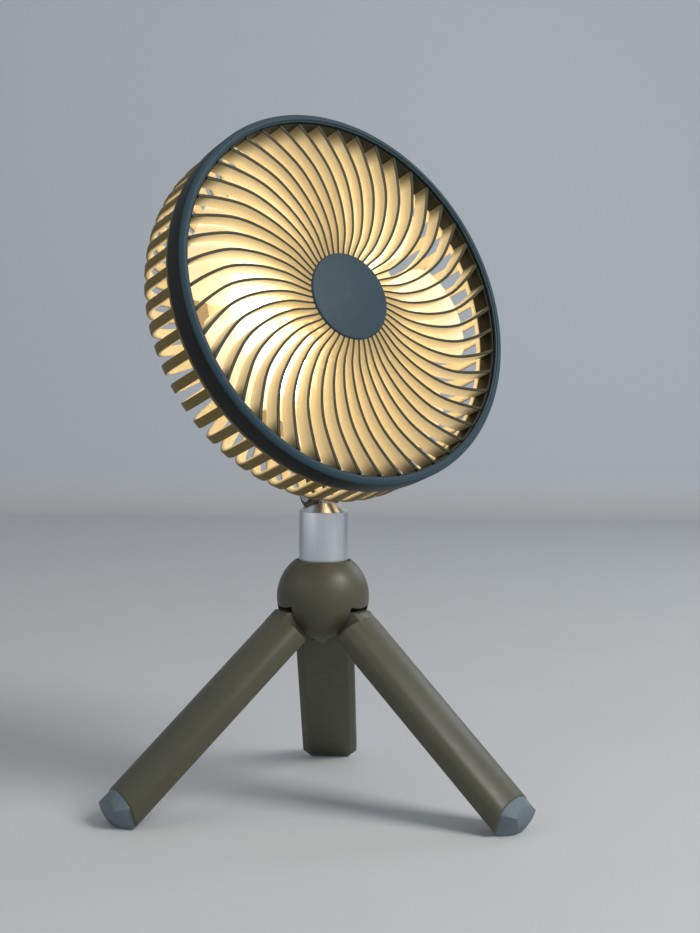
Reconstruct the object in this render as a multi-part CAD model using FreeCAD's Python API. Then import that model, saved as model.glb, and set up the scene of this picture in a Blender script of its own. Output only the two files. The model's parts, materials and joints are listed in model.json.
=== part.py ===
import FreeCAD, Part
import math
import os

V = FreeCAD.Vector
X_AXIS = V(1, 0, 0)
Y_AXIS = V(0, 1, 0)
Z_AXIS = V(0, 0, 1)
ORIGIN = V(0, 0, 0)

# Stance: +Z up, origin on the floor under the stem, the fan blows towards -Y
HEAD_TILT = 20.0
BALL_Z = 97.7
LEG_SLOPE = 43.0
LEG_NAMES = ("back", "left", "front")
FIRST_LEG = 50.3
LEG_STEP = 360.0 / len(LEG_NAMES)
LEG_AZIMUTHS = {name: FIRST_LEG + LEG_STEP * step for step, name in enumerate(LEG_NAMES)}

# Clearances between pieces, and a length beyond the whole fan for cutting tools
RUN_FIT = 0.05
MOVE_GAP = 0.3
SIDE_GAP = 0.25
REACH = 400.0
ALONG = 0.99

# Front rim, a round band with a bevelled front edge and an inner step
RIM_R = 90.0
RIM_DEPTH = 11.5
RIM_WALL = 2.8
RIM_LIP = 4.0
RIM_LIP_R = RIM_R - RIM_LIP
RIM_LIP_DEPTH = 2.2
RIM_BEVEL = 1.8
RIM_STEP = 0.7

# Front grille, deep spiral slats between a hub ring and an outer band.
# The sweeps are in degrees, at even steps of radius from the hub ring to the band
SLAT_COUNT = 48
SLAT_FRONT = 1.6
SLAT_DEPTH = 9.0
SLAT_ROOT_THICK = 0.8
SLAT_TIP_THICK = 1.5
SLAT_PHASE = 0.0
SLAT_SWEEPS = (2.0, -2.9, -2.5, -0.1, 3.3, 8.1, 12.8)
SLAT_SET_IN = 0.4
GRILLE_BAND_WALL = 1.9
GRILLE_BAND_OUT = RIM_R - RIM_WALL - MOVE_GAP
GRILLE_BAND_IN = GRILLE_BAND_OUT - GRILLE_BAND_WALL
GRILLE_HUB_IN = 19.0
GRILLE_HUB_OUT = 20.6
GRILLE_WEB_FRONT = 4.0
GRILLE_WEB_THICK = 1.6
CAP_R = 21.0
CAP_FRONT = 0.6
CAP_CHAMFER = 0.5

# Rear cage, flat ribs that run back, round the corner and in to a ring
RIB_COUNT = 58
RIB_WIDTH = 4.4
RIB_THICK = 2.4
RIB_BITE = 1.5
RIB_SETBACK = 1.0
RIB_START = RIM_DEPTH + RIB_SETBACK
RIB_PHASE = 0.5
CAGE_INSET = 0.9
CAGE_R = RIM_R - CAGE_INSET
CAGE_DEPTH = 45.0
CAGE_CORNER = 16.2
CAGE_BAND_LIP = 0.2
CAGE_BAND_WALL = 4.7
CAGE_BAND_OUT = CAGE_R + CAGE_BAND_LIP
CAGE_BAND_IN = CAGE_BAND_OUT - CAGE_BAND_WALL
CAGE_BAND_DEPTH = 2.5
CAGE_RING_IN = 48.0
CAGE_RING_OUT = 62.5
CAGE_RING_SINK = 0.3
CAGE_RING_THICK = 2.4
CAGE_RING_BACK = CAGE_DEPTH - CAGE_RING_SINK
CAGE_RING_FRONT = CAGE_RING_BACK - CAGE_RING_THICK
RIB_END_R = CAGE_RING_OUT - RIB_BITE

# Rear housing and its cover
HOUSING_R = 58.0
HOUSING_WALL = 2.0
HOUSING_FRONT = 31.0
COVER_R = 57.0
COVER_HEIGHT = 6.3
COVER_BACK = CAGE_RING_BACK + COVER_HEIGHT
COVER_PLATE = COVER_BACK - HOUSING_WALL
COVER_CHAMFER = 2.5
SCREW_CIRCLE = 52.5
SCREW_COUNT = 4
SCREW_PHASE = 45.0
SCREW_R = 1.45
SCREW_HEAD_R = 2.6
SCREW_HEAD = 1.5
SCREW_SINK = 0.25
SCREW_BITE = 6.3
SCREW_END = CAGE_RING_FRONT - SCREW_BITE
SCREW_SEAT = COVER_BACK - SCREW_SINK - SCREW_HEAD
BOSS_R = 3.4
THROUGH_R = 1.7

# Motor, an outer-rotor type on the housing's front wall
SHAFT_R = 1.5
SHAFT_FRONT = 11.9
SHAFT_BACK = 30.4
BEARING_R = 4.0
BEARING_WIDTH = 3.0
BEARING_FRONT = 18.0
BEARING_BACK = 27.0
MOTOR_TUBE_R = 5.2
MOTOR_TUBE_FRONT = 17.4
MOTOR_FLANGE_R = 14.0
MOTOR_FLANGE = 1.5
STATOR_FRONT = 20.0
STATOR_BACK = 26.0
STATOR_HUB_R = 7.6
STATOR_R = 16.6
STATOR_TEETH = 9
TOOTH_WIDTH = 2.2
COIL_WIDTH = 4.6
COIL_OVERHANG = 1.2
COIL_IN = 9.0
COIL_OUT = 15.4
BELL_R = 20.3
BELL_IN = 18.9
BELL_FRONT = 14.6
BELL_DISC = 1.2
BELL_BACK = 27.2
MAGNET_IN = 17.2
MAGNET_FRONT = 17.0
MAGNET_BACK = 26.6

# Impeller. A station is (radius, chord, pitch in degrees)
BLADE_COUNT = 7
BLADE_TIP_GAP = 14.0
BLADE_R = RIM_R - BLADE_TIP_GAP
BLADE_THICK = 1.8
BLADE_MID = 19.2
BLADE_STATIONS = [(12.0, 16.0, 32.0), (34.0, 26.0, 24.0), (56.0, 45.0, 18.0), (80.0, 60.0, 13.0)]
BLADE_CAMBER = 0.07
IMPELLER_HUB_R = 22.6
IMPELLER_FRONT = 13.0
IMPELLER_BACK = 26.0
NUT_R = 3.6
NUT_FRONT = 11.2

# Light ring, close round the motor
LED_IN = 27.0
LED_OUT = 43.0
LED_THICK = 1.4
LED_COUNT = 24
LED_SIDE = 3.0
LED_HEIGHT = 0.8
LENS_IN = 24.5
LENS_OUT = 45.5
LENS_WALL = 1.2
LENS_FRONT = 27.4

# Power pack, board, switches and port behind the housing
CELL_LENGTH = 58.0
CELL_WIDTH = 32.0
CELL_THICK = 7.6
CELL_OFFSET = 20.0
CELL_CORNER = 2.5
BOARD_R = 45.0
BOARD_SETBACK = 0.7
BOARD_THICK = 1.6
BOARD_FRONT = CAGE_RING_BACK + BOARD_SETBACK
BOARD_BACK = BOARD_FRONT + BOARD_THICK
POST_R = 2.5
POST_CIRCLE = 40.0
SWITCH_SIDE = 5.0
SWITCH_HEIGHT = 0.9
BUTTON_X = {"fan_button": -13.0, "light_button": 13.0}
BUTTON_Z = 8.0
BUTTON_R = 6.0
BUTTON_TRAVEL = 0.8
BUTTON_SLACK = 0.1
BUTTON_RISE = 1.0
BUTTON_FLANGE_R = 7.2
BUTTON_FLANGE = 0.7
BUTTON_FLANGE_BACK = COVER_PLATE - BUTTON_SLACK
BUTTON_FLANGE_FRONT = BUTTON_FLANGE_BACK - BUTTON_FLANGE
BUTTON_FACE = BOARD_BACK + SWITCH_HEIGHT + BUTTON_TRAVEL + BUTTON_SLACK
BUTTON_TOP = COVER_BACK + BUTTON_RISE
BUTTON_RECESS = 4.2
PORT_WIDTH = 9.0
PORT_HEIGHT = 3.2
PORT_WALL = 0.4
PORT_Z = -20.0
LENS_DOT_R = 1.3
LENS_DOT_Z = 22.0
LENS_DOT_TOP = COVER_BACK + MOVE_GAP

# Stem tube
STEM_R = 11.5
STEM_WALL = 1.2
STEM_HEIGHT = 40.0
STEM_TOP = BALL_Z + STEM_HEIGHT

# Neck: a bracket on the cage, and the hinge behind the head's lower edge.
# The ear's outline is measured from the hinge, (behind, above)
PIVOT_SETBACK = 7.5
PIVOT_RIM = 9.9
PIVOT_DEPTH = CAGE_RING_BACK + PIVOT_SETBACK
PIVOT_DROP = CAGE_R - PIVOT_RIM
PIVOT_RISE = 7.7
PIVOT_BEHIND = 2.9
PLATE_HALF = 16.0
PLATE_ABOVE = 7.2
PLATE_HEIGHT = 14.2
PLATE_BOTTOM = PIVOT_DROP - PLATE_ABOVE
PLATE_TOP = PLATE_BOTTOM - PLATE_HEIGHT
PLATE_THICK = 3.5
PAD_GAP = 0.4
PAD_RISE = 1.3
EAR_IN = 4.2
EAR_OUT = 7.4
EAR_R = 6.0
EAR_OUTLINE = [(-6.8, 16.2), (-6.8, 7.2), (-5.8, 0.0), (EAR_R, 0.0), (0.8, 11.2), (-4.0, 16.2)]
PLATE_SCREW_X = 12.8
PLATE_SCREW_RISES = (4.0, 10.5)
PLATE_SCREW_R = 1.25
PLATE_SCREW_HEAD_R = 2.4
TILT_PIN_R = 2.5
TILT_HEAD_R = 3.4
TILT_HEAD = 1.4
WASHER_THICK = 0.5
KNUCKLE_HALF = 3.5
NECK_CAP = 4.0
NECK_CAP_TAPER = 4.6
NECK_PLUG = 12.0

# Place of the head's face centre, worked out from the hinge
LEAN = math.radians(HEAD_TILT)
HEAD_Y = PIVOT_BEHIND - PIVOT_DEPTH * math.cos(LEAN) + PIVOT_DROP * math.sin(LEAN)
HEAD_Z = STEM_TOP + PIVOT_RISE + PIVOT_DEPTH * math.sin(LEAN) + PIVOT_DROP * math.cos(LEAN)

# Swivel in the ball, from the socket's floor down
SOCKET_RISE = 1.0
SOCKET_WASHER = 1.0
SOCKET_SLACK = 0.2
SOCKET_FLOOR = BALL_Z + SOCKET_RISE
STEM_BOTTOM = SOCKET_FLOOR + SOCKET_WASHER + SOCKET_SLACK
SPINDLE_PLUG = 10.0
SPINDLE_R = 3.0
BUSH_R = 4.5
BUSH_LENGTH = 14.7
BUSH_BOTTOM = SOCKET_FLOOR - BUSH_LENGTH
POCKET_R = 5.0
SPRING_WASHER = 1.1
SWIVEL_NUT_R = 4.6
SWIVEL_NUT_SIDES = 6
SWIVEL_NUT = 4.0
SPRING_WASHER_TOP = BUSH_BOTTOM - MOVE_GAP
SWIVEL_NUT_TOP = SPRING_WASHER_TOP - SPRING_WASHER
SWIVEL_NUT_BOTTOM = SWIVEL_NUT_TOP - SWIVEL_NUT
SPINDLE_STICKOUT = 0.4
SPINDLE_END = SWIVEL_NUT_BOTTOM - SPINDLE_STICKOUT
HUB_PLUG_TOP = SPINDLE_END - MOVE_GAP

# Hub ball in two shells with a slot for each leg
BALL_R = 21.6
BALL_TOP_CUT = 17.0
MOUTH_R = 12.9
MOUTH_DEPTH = 2.6
SEAM_DROP = 9.1
SLOT_INNER = 6.3
SLOT_CROWN_ROOM = 0.6
HUB_SCREW_R = 1.25
HUB_SCREW_HEAD_R = 2.1
HUB_SCREW_CIRCLE = 12.0
HUB_SCREW_SHANK = 12.0
HUB_SCREW_HEAD = 1.6
HUB_SCREW_HEAD_Z = BUSH_BOTTOM
HUB_SCREW_TOP = HUB_SCREW_HEAD_Z + HUB_SCREW_SHANK

# Legs, measured along the leg from the ball's centre and square to it
LEG_PIVOT_R = 12.0
LEG_PIN_R = 2.0
LEG_PIN_HALF = 11.5
LEG_WIDTH = 28.0
LEG_CROWN = 11.2
LEG_SHOULDER = 6.1
LEG_SHOULDER_R = 6.0
LEG_SIDE_BOTTOM = -2.0
LEG_KEEL = -4.1
LEG_KEEL_HALF = 10.5
LEG_START = 23.5
LEG_FOLD = 47.0
TONGUE_WIDTH = 14.0
TONGUE_TIP_R = 5.0
TONGUE_CROWN_START = 17.6
EDGE_ROUND = 0.8

# Rubber feet, which reach just short of where the leg's axis meets the floor
FOOT_SHORT = 0.26
FOOT_LENGTH = 12.0
FOOT_END = BALL_Z / math.sin(math.radians(LEG_SLOPE)) - FOOT_SHORT
LEG_END = FOOT_END - FOOT_LENGTH
FOOT_INSET = 0.4
FOOT_NOSE_R = 11.6
FOOT_NOSE_HEIGHT = 0.2
FOOT_PLUG_WIDTH = 14.0
FOOT_PLUG_HEIGHT = 6.0
FOOT_PLUG_LENGTH = 8.0


def lathe(points, axis):
    # points are (radius, distance along the axis)
    if axis == Z_AXIS:
        corners = [V(radius, 0, along) for radius, along in points]
    else:
        corners = [V(radius, along, 0) for radius, along in points]
    face = Part.Face(Part.makePolygon(corners + corners[:1]))
    return face.revolve(ORIGIN, axis, 360)


def ring(inner, outer, start, end, axis=Y_AXIS):
    return lathe([(inner, start), (outer, start), (outer, end), (inner, end)], axis)


def rod(radius, start, end, axis=Y_AXIS, at=ORIGIN):
    return Part.makeCylinder(radius, end - start, at + axis * start, axis)


def box(x, y, z):
    # each argument is a (low, high) pair
    return Part.makeBox(x[1] - x[0], y[1] - y[0], z[1] - z[0], V(x[0], y[0], z[0]))


def prism(corners, direction):
    return Part.Face(Part.makePolygon(corners + corners[:1])).extrude(direction)


def turned(shape, angle, axis, centre=ORIGIN):
    copy = shape.copy()
    copy.rotate(centre, axis, angle)
    return copy


def moved(shape, offset):
    copy = shape.copy()
    copy.translate(offset)
    return copy


def spread(shape, count, axis=Y_AXIS, phase=0.0):
    return [turned(shape, phase + 360.0 / count * step, axis) for step in range(count)]


def on_screws(radius, start, end, circle=SCREW_CIRCLE):
    # the same rod at each of the cover's screws, or on another circle in line with them
    return spread(rod(radius, start, end, at=X_AXIS * circle), SCREW_COUNT, phase=SCREW_PHASE)


def joined(shapes):
    return shapes[0].multiFuse(shapes[1:]).removeSplitter()


def on_circle(radius, degrees, depth):
    angle = math.radians(degrees)
    return V(radius * math.cos(angle), depth, radius * math.sin(angle))


def edges_along(shape, axis):
    return [edge for edge in shape.Edges if abs(edge.tangentAt(edge.FirstParameter).dot(axis)) > ALONG]


# Front of the head

def front_rim():
    inner = RIM_R - RIM_WALL
    return lathe([
        (RIM_LIP_R, RIM_STEP), (RIM_LIP_R + RIM_STEP, RIM_STEP), (RIM_LIP_R + RIM_STEP, 0),
        (RIM_R - RIM_BEVEL, 0), (RIM_R, RIM_BEVEL), (RIM_R, RIM_DEPTH),
        (inner, RIM_DEPTH), (inner, RIM_LIP_DEPTH), (RIM_LIP_R, RIM_LIP_DEPTH)], Y_AXIS)


def slat_edge(side):
    # three arcs, each through three of the points
    first = GRILLE_HUB_OUT - SLAT_SET_IN
    last = GRILLE_BAND_IN + SLAT_SET_IN
    points = []
    for step, sweep in enumerate(SLAT_SWEEPS):
        share = step / (len(SLAT_SWEEPS) - 1)
        radius = first + share * (last - first)
        half = (SLAT_ROOT_THICK + share * (SLAT_TIP_THICK - SLAT_ROOT_THICK)) / 2
        points.append(on_circle(radius, sweep + side * math.degrees(half / radius), SLAT_FRONT))
    starts = range(0, len(points) - 1, 2)
    return [Part.Arc(*points[start:start + 3]).toShape() for start in starts], points


def slat():
    left, left_points = slat_edge(1)
    right, right_points = slat_edge(-1)
    inner = Part.makeLine(left_points[0], right_points[0])
    outer = Part.makeLine(left_points[-1], right_points[-1])
    face = Part.Face(Part.Wire(Part.__sortEdges__(left + [outer, inner] + right)))
    return face.extrude(Y_AXIS * SLAT_DEPTH)


def front_grille():
    back = SLAT_FRONT + SLAT_DEPTH
    band = ring(GRILLE_BAND_IN, GRILLE_BAND_OUT, RIM_LIP_DEPTH, RIM_DEPTH)
    hub = ring(GRILLE_HUB_IN, GRILLE_HUB_OUT, SLAT_FRONT, back)
    web = rod(GRILLE_HUB_IN + EDGE_ROUND, GRILLE_WEB_FRONT, GRILLE_WEB_FRONT + GRILLE_WEB_THICK)
    return band.multiFuse([hub, web] + spread(slat(), SLAT_COUNT, phase=SLAT_PHASE))


def front_cap():
    spigot = GRILLE_HUB_IN - MOVE_GAP
    return lathe([
        (0, CAP_FRONT), (CAP_R - CAP_CHAMFER, CAP_FRONT), (CAP_R, CAP_FRONT + CAP_CHAMFER),
        (CAP_R, SLAT_FRONT), (spigot, SLAT_FRONT), (spigot, GRILLE_WEB_FRONT),
        (0, GRILLE_WEB_FRONT)], Y_AXIS)


# Back of the head

def rib_side(inset):
    # one long side of the rib's outline: x is the radius and y the depth
    corner_r = CAGE_R - CAGE_CORNER
    corner_y = CAGE_DEPTH - CAGE_CORNER
    bend = CAGE_CORNER - inset
    halfway = bend * math.sqrt(0.5)
    side_end = V(CAGE_R - inset, corner_y, 0)
    back_start = V(corner_r, CAGE_DEPTH - inset, 0)
    arc = Part.Arc(side_end, V(corner_r + halfway, corner_y + halfway, 0), back_start).toShape()
    side = Part.makeLine(V(CAGE_R - inset, RIB_START, 0), side_end)
    back = Part.makeLine(back_start, V(RIB_END_R, CAGE_DEPTH - inset, 0))
    return [side, arc, back]


def rib():
    ends = [
        Part.makeLine(V(CAGE_R, RIB_START, 0), V(CAGE_R - RIB_THICK, RIB_START, 0)),
        Part.makeLine(V(RIB_END_R, CAGE_DEPTH, 0), V(RIB_END_R, CAGE_DEPTH - RIB_THICK, 0))]
    face = Part.Face(Part.Wire(Part.__sortEdges__(rib_side(0) + rib_side(RIB_THICK) + ends)))
    return moved(face.extrude(Z_AXIS * RIB_WIDTH), Z_AXIS * (-RIB_WIDTH / 2))


def plate_screw_spots():
    rises = [PLATE_BOTTOM - rise for rise in PLATE_SCREW_RISES]
    return [V(side * PLATE_SCREW_X, 0, -drop) for side in (-1, 1) for drop in rises]


def plate_screw_holes(start, end):
    return [rod(PLATE_SCREW_R, start, end, Y_AXIS, spot) for spot in plate_screw_spots()]


def rear_cage():
    band = ring(CAGE_BAND_IN, CAGE_BAND_OUT, RIM_DEPTH, RIM_DEPTH + CAGE_BAND_DEPTH)
    back = ring(CAGE_RING_IN, CAGE_RING_OUT, CAGE_RING_FRONT, CAGE_RING_BACK)
    half = PLATE_HALF + PAD_GAP
    drop = (-PLATE_BOTTOM - PAD_GAP, -PLATE_TOP + PAD_RISE)
    pad = box((-half, half), (CAGE_RING_FRONT, CAGE_RING_BACK), drop)
    cage = band.multiFuse([back, pad] + spread(rib(), RIB_COUNT, phase=360.0 / RIB_COUNT * RIB_PHASE))
    room = box((-half, half), (CAGE_RING_BACK, COVER_BACK), drop)
    holes = on_screws(THROUGH_R, CAGE_RING_FRONT, CAGE_RING_BACK)
    return cage.cut([room] + holes + plate_screw_holes(CAGE_RING_FRONT, CAGE_DEPTH))


def rear_housing():
    wall = HOUSING_FRONT + HOUSING_WALL
    cup = lathe([
        (MOTOR_TUBE_R, HOUSING_FRONT), (HOUSING_R, HOUSING_FRONT), (HOUSING_R, CAGE_RING_FRONT),
        (HOUSING_R - HOUSING_WALL, CAGE_RING_FRONT), (HOUSING_R - HOUSING_WALL, wall),
        (MOTOR_TUBE_R, wall)], Y_AXIS)
    bosses = on_screws(BOSS_R, HOUSING_FRONT, CAGE_RING_FRONT)
    return cup.multiFuse(bosses).cut(on_screws(SCREW_R + RUN_FIT, SCREW_END, CAGE_RING_FRONT))


def rear_cover():
    shell = lathe([
        (0, COVER_PLATE), (COVER_R - HOUSING_WALL, COVER_PLATE), (COVER_R - HOUSING_WALL, CAGE_RING_BACK),
        (COVER_R, CAGE_RING_BACK), (COVER_R, COVER_BACK - COVER_CHAMFER),
        (COVER_R - COVER_CHAMFER, COVER_BACK), (0, COVER_BACK)], Y_AXIS)
    pillars = on_screws(BOSS_R, CAGE_RING_BACK, COVER_PLATE)
    posts = on_screws(POST_R, BOARD_BACK, COVER_PLATE, POST_CIRCLE)
    cuts = on_screws(THROUGH_R, CAGE_RING_BACK, COVER_BACK)
    cuts += on_screws(SCREW_HEAD_R + MOVE_GAP, SCREW_SEAT, COVER_BACK)
    for x in BUTTON_X.values():
        cuts.append(rod(BUTTON_R + MOVE_GAP, COVER_PLATE, COVER_BACK, at=V(x, 0, BUTTON_Z)))
    cuts.append(port_block(SIDE_GAP, COVER_PLATE, COVER_BACK))
    cuts.append(rod(LENS_DOT_R, COVER_PLATE, COVER_BACK, at=Z_AXIS * LENS_DOT_Z))
    return shell.multiFuse(pillars + posts).cut(cuts)


def cover_screws():
    end = SCREW_END + MOVE_GAP
    top = SCREW_SEAT + SCREW_HEAD
    screw = lathe([
        (0, end), (SCREW_R, end), (SCREW_R, SCREW_SEAT), (SCREW_HEAD_R, SCREW_SEAT),
        (SCREW_HEAD_R, top), (0, top)], Y_AXIS)
    return Part.makeCompound(spread(moved(screw, X_AXIS * SCREW_CIRCLE), SCREW_COUNT, phase=SCREW_PHASE))


# Motor and impeller

def motor_base():
    flange = HOUSING_FRONT - MOTOR_FLANGE
    return lathe([
        (BEARING_R, MOTOR_TUBE_FRONT), (MOTOR_TUBE_R, MOTOR_TUBE_FRONT), (MOTOR_TUBE_R, flange),
        (MOTOR_FLANGE_R, flange), (MOTOR_FLANGE_R, HOUSING_FRONT), (BEARING_R, HOUSING_FRONT)], Y_AXIS)


def motor_bearings():
    inner = SHAFT_R + RUN_FIT
    rings = [ring(inner, BEARING_R, start, start + BEARING_WIDTH) for start in (BEARING_FRONT, BEARING_BACK)]
    return Part.makeCompound(rings)


def motor_stator():
    core = ring(MOTOR_TUBE_R, STATOR_HUB_R, STATOR_FRONT, STATOR_BACK)
    half = TOOTH_WIDTH / 2
    tooth = box((STATOR_HUB_R - half, STATOR_R), (STATOR_FRONT, STATOR_BACK), (-half, half))
    return core.multiFuse(spread(tooth, STATOR_TEETH)).common(rod(STATOR_R, STATOR_FRONT, STATOR_BACK))


def motor_windings():
    half = COIL_WIDTH / 2
    depth = (STATOR_FRONT - COIL_OVERHANG, STATOR_BACK + COIL_OVERHANG)
    coil = box((COIL_IN, COIL_OUT), depth, (-half, half))
    core = TOOTH_WIDTH / 2
    coil = coil.cut(box((COIL_IN, COIL_OUT), (STATOR_FRONT, STATOR_BACK), (-core, core)))
    return Part.makeCompound(spread(coil, STATOR_TEETH))


def motor_rotor():
    return lathe([
        (SHAFT_R, BELL_FRONT), (BELL_R, BELL_FRONT), (BELL_R, BELL_BACK), (BELL_IN, BELL_BACK),
        (BELL_IN, BELL_FRONT + BELL_DISC), (SHAFT_R, BELL_FRONT + BELL_DISC)], Y_AXIS)


def magnet_ring():
    return ring(MAGNET_IN, BELL_IN, MAGNET_FRONT, MAGNET_BACK)


def motor_shaft():
    return rod(SHAFT_R, SHAFT_FRONT, SHAFT_BACK)


def blade_section(radius, chord, pitch):
    # a thin cambered outline in the plane square to +X at this radius
    half = chord / 2
    lift = chord * BLADE_CAMBER
    skin = BLADE_THICK / 2
    outline = [
        (-half, -skin / 2), (0, lift - skin), (half, -skin / 2),
        (half, skin / 2), (0, lift + skin), (-half, skin / 2)]
    angle = math.radians(pitch)
    points = []
    for along, across in outline:
        depth = BLADE_MID + along * math.sin(angle) - across * math.cos(angle)
        points.append(V(radius, depth, along * math.cos(angle) + across * math.sin(angle)))
    return Part.makePolygon(points + points[:1])


def impeller():
    sections = [blade_section(radius, chord, pitch) for radius, chord, pitch in BLADE_STATIONS]
    blade = Part.makeLoft(sections, True, True).common(rod(BLADE_R, 0, COVER_BACK))
    hub = lathe([
        (0, IMPELLER_FRONT), (IMPELLER_HUB_R - EDGE_ROUND, IMPELLER_FRONT),
        (IMPELLER_HUB_R, IMPELLER_FRONT + EDGE_ROUND), (IMPELLER_HUB_R, IMPELLER_BACK),
        (0, IMPELLER_BACK)], Y_AXIS)
    bore = rod(BELL_R + MOVE_GAP, BELL_FRONT, COVER_BACK)
    shaft_hole = rod(SHAFT_R + RUN_FIT, 0, COVER_BACK)
    return hub.multiFuse(spread(blade, BLADE_COUNT)).cut([bore, shaft_hole])


def impeller_nut():
    return lathe([
        (0, NUT_FRONT), (NUT_R - EDGE_ROUND, NUT_FRONT), (NUT_R, NUT_FRONT + EDGE_ROUND),
        (NUT_R, IMPELLER_FRONT), (SHAFT_R + RUN_FIT, IMPELLER_FRONT),
        (SHAFT_R + RUN_FIT, SHAFT_FRONT), (0, SHAFT_FRONT)], Y_AXIS)


# Light ring

def led_board():
    return ring(LED_IN, LED_OUT, HOUSING_FRONT - LED_THICK, HOUSING_FRONT)


def led_chips():
    half = LED_SIDE / 2
    middle = (LED_IN + LED_OUT) / 2
    top = HOUSING_FRONT - LED_THICK
    chip = box((middle - half, middle + half), (top - LED_HEIGHT, top), (-half, half))
    return Part.makeCompound(spread(chip, LED_COUNT))


def light_diffuser():
    back = LENS_FRONT + LENS_WALL
    return lathe([
        (LENS_IN, HOUSING_FRONT), (LENS_IN, LENS_FRONT + EDGE_ROUND), (LENS_IN + EDGE_ROUND, LENS_FRONT),
        (LENS_OUT - EDGE_ROUND, LENS_FRONT), (LENS_OUT, LENS_FRONT + EDGE_ROUND), (LENS_OUT, HOUSING_FRONT),
        (LENS_OUT - LENS_WALL, HOUSING_FRONT), (LENS_OUT - LENS_WALL, back),
        (LENS_IN + LENS_WALL, back), (LENS_IN + LENS_WALL, HOUSING_FRONT)], Y_AXIS)


# Power pack, board, switches and port

def battery_cells():
    front = HOUSING_FRONT + HOUSING_WALL
    half = CELL_LENGTH / 2
    cells = []
    for middle in (-CELL_OFFSET, CELL_OFFSET):
        low, high = middle - CELL_WIDTH / 2, middle + CELL_WIDTH / 2
        cell = box((-half, half), (front, front + CELL_THICK), (low, high))
        cells.append(cell.makeFillet(CELL_CORNER, edges_along(cell, Y_AXIS)))
    return Part.makeCompound(cells)


def control_board():
    board = rod(BOARD_R, BOARD_FRONT, BOARD_BACK)
    return board.cut(on_screws(THROUGH_R, BOARD_FRONT, BOARD_BACK, POST_CIRCLE))


def tact_switches():
    half = SWITCH_SIDE / 2
    depth = (BOARD_BACK, BOARD_BACK + SWITCH_HEIGHT)
    height = (BUTTON_Z - half, BUTTON_Z + half)
    return Part.makeCompound([box((x - half, x + half), depth, height) for x in BUTTON_X.values()])


def button(x):
    plunger = lathe([
        (0, BUTTON_FACE), (BUTTON_RECESS, BUTTON_FACE), (BUTTON_RECESS, BUTTON_FLANGE_FRONT),
        (BUTTON_FLANGE_R, BUTTON_FLANGE_FRONT), (BUTTON_FLANGE_R, BUTTON_FLANGE_BACK),
        (BUTTON_R, BUTTON_FLANGE_BACK), (BUTTON_R, BUTTON_TOP - CAP_CHAMFER),
        (BUTTON_R - CAP_CHAMFER, BUTTON_TOP), (0, BUTTON_TOP)], Y_AXIS)
    return moved(plunger, V(x, 0, BUTTON_Z))


def port_block(grow, start, end):
    width = PORT_WIDTH / 2 + grow
    height = PORT_HEIGHT / 2 + grow
    straight = width - height
    ends = [rod(height, start, end, at=V(side * straight, 0, PORT_Z)) for side in (-1, 1)]
    return joined([box((-straight, straight), (start, end), (PORT_Z - height, PORT_Z + height))] + ends)


def charge_port():
    shell = port_block(0, BOARD_BACK, COVER_BACK)
    return shell.cut(port_block(-PORT_WALL, BOARD_BACK + PORT_WALL, COVER_BACK))


def status_lens():
    return rod(LENS_DOT_R, COVER_PLATE, LENS_DOT_TOP, at=Z_AXIS * LENS_DOT_Z)


# Neck bracket and tilt hinge

def pivot_rod(radius, low, high):
    return rod(radius, low, high, X_AXIS, V(0, PIVOT_DEPTH, -PIVOT_DROP))


def both_ways(radius, near, far):
    # the same length of rod on either side of the hinge's middle
    return [pivot_rod(radius, near, far), pivot_rod(radius, -far, -near)]


def neck_bracket():
    front = CAGE_RING_BACK
    plate = box((-PLATE_HALF, PLATE_HALF), (front, front + PLATE_THICK), (-PLATE_BOTTOM, -PLATE_TOP))
    corners = [V(EAR_IN, PIVOT_DEPTH + behind, above - PIVOT_DROP) for behind, above in EAR_OUTLINE]
    arm = prism(corners, X_AXIS * (EAR_OUT - EAR_IN))
    arms = [arm, moved(arm, X_AXIS * (-EAR_IN - EAR_OUT))]
    holes = plate_screw_holes(front, front + PLATE_THICK)
    bracket = plate.multiFuse(arms + both_ways(EAR_R, EAR_IN, EAR_OUT))
    return bracket.cut(holes + [pivot_rod(TILT_PIN_R, -EAR_OUT, EAR_OUT)])


def bracket_screws():
    head = CAGE_RING_BACK + PLATE_THICK
    screw = lathe([
        (0, CAGE_RING_FRONT), (PLATE_SCREW_R, CAGE_RING_FRONT), (PLATE_SCREW_R, head),
        (PLATE_SCREW_HEAD_R, head), (PLATE_SCREW_HEAD_R, head + SCREW_HEAD), (0, head + SCREW_HEAD)], Y_AXIS)
    return Part.makeCompound([moved(screw, spot) for spot in plate_screw_spots()])


def tilt_pin():
    head = pivot_rod(TILT_HEAD_R, EAR_OUT, EAR_OUT + TILT_HEAD)
    return joined([pivot_rod(TILT_PIN_R, -EAR_OUT, EAR_OUT), head])


def tilt_nut():
    return pivot_rod(TILT_HEAD_R, -EAR_OUT - TILT_HEAD, -EAR_OUT)


def tilt_washers():
    hole = pivot_rod(TILT_PIN_R, -EAR_IN, EAR_IN)
    return Part.makeCompound([pad.cut(hole) for pad in both_ways(EAR_R, EAR_IN - WASHER_THICK, EAR_IN)])


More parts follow.
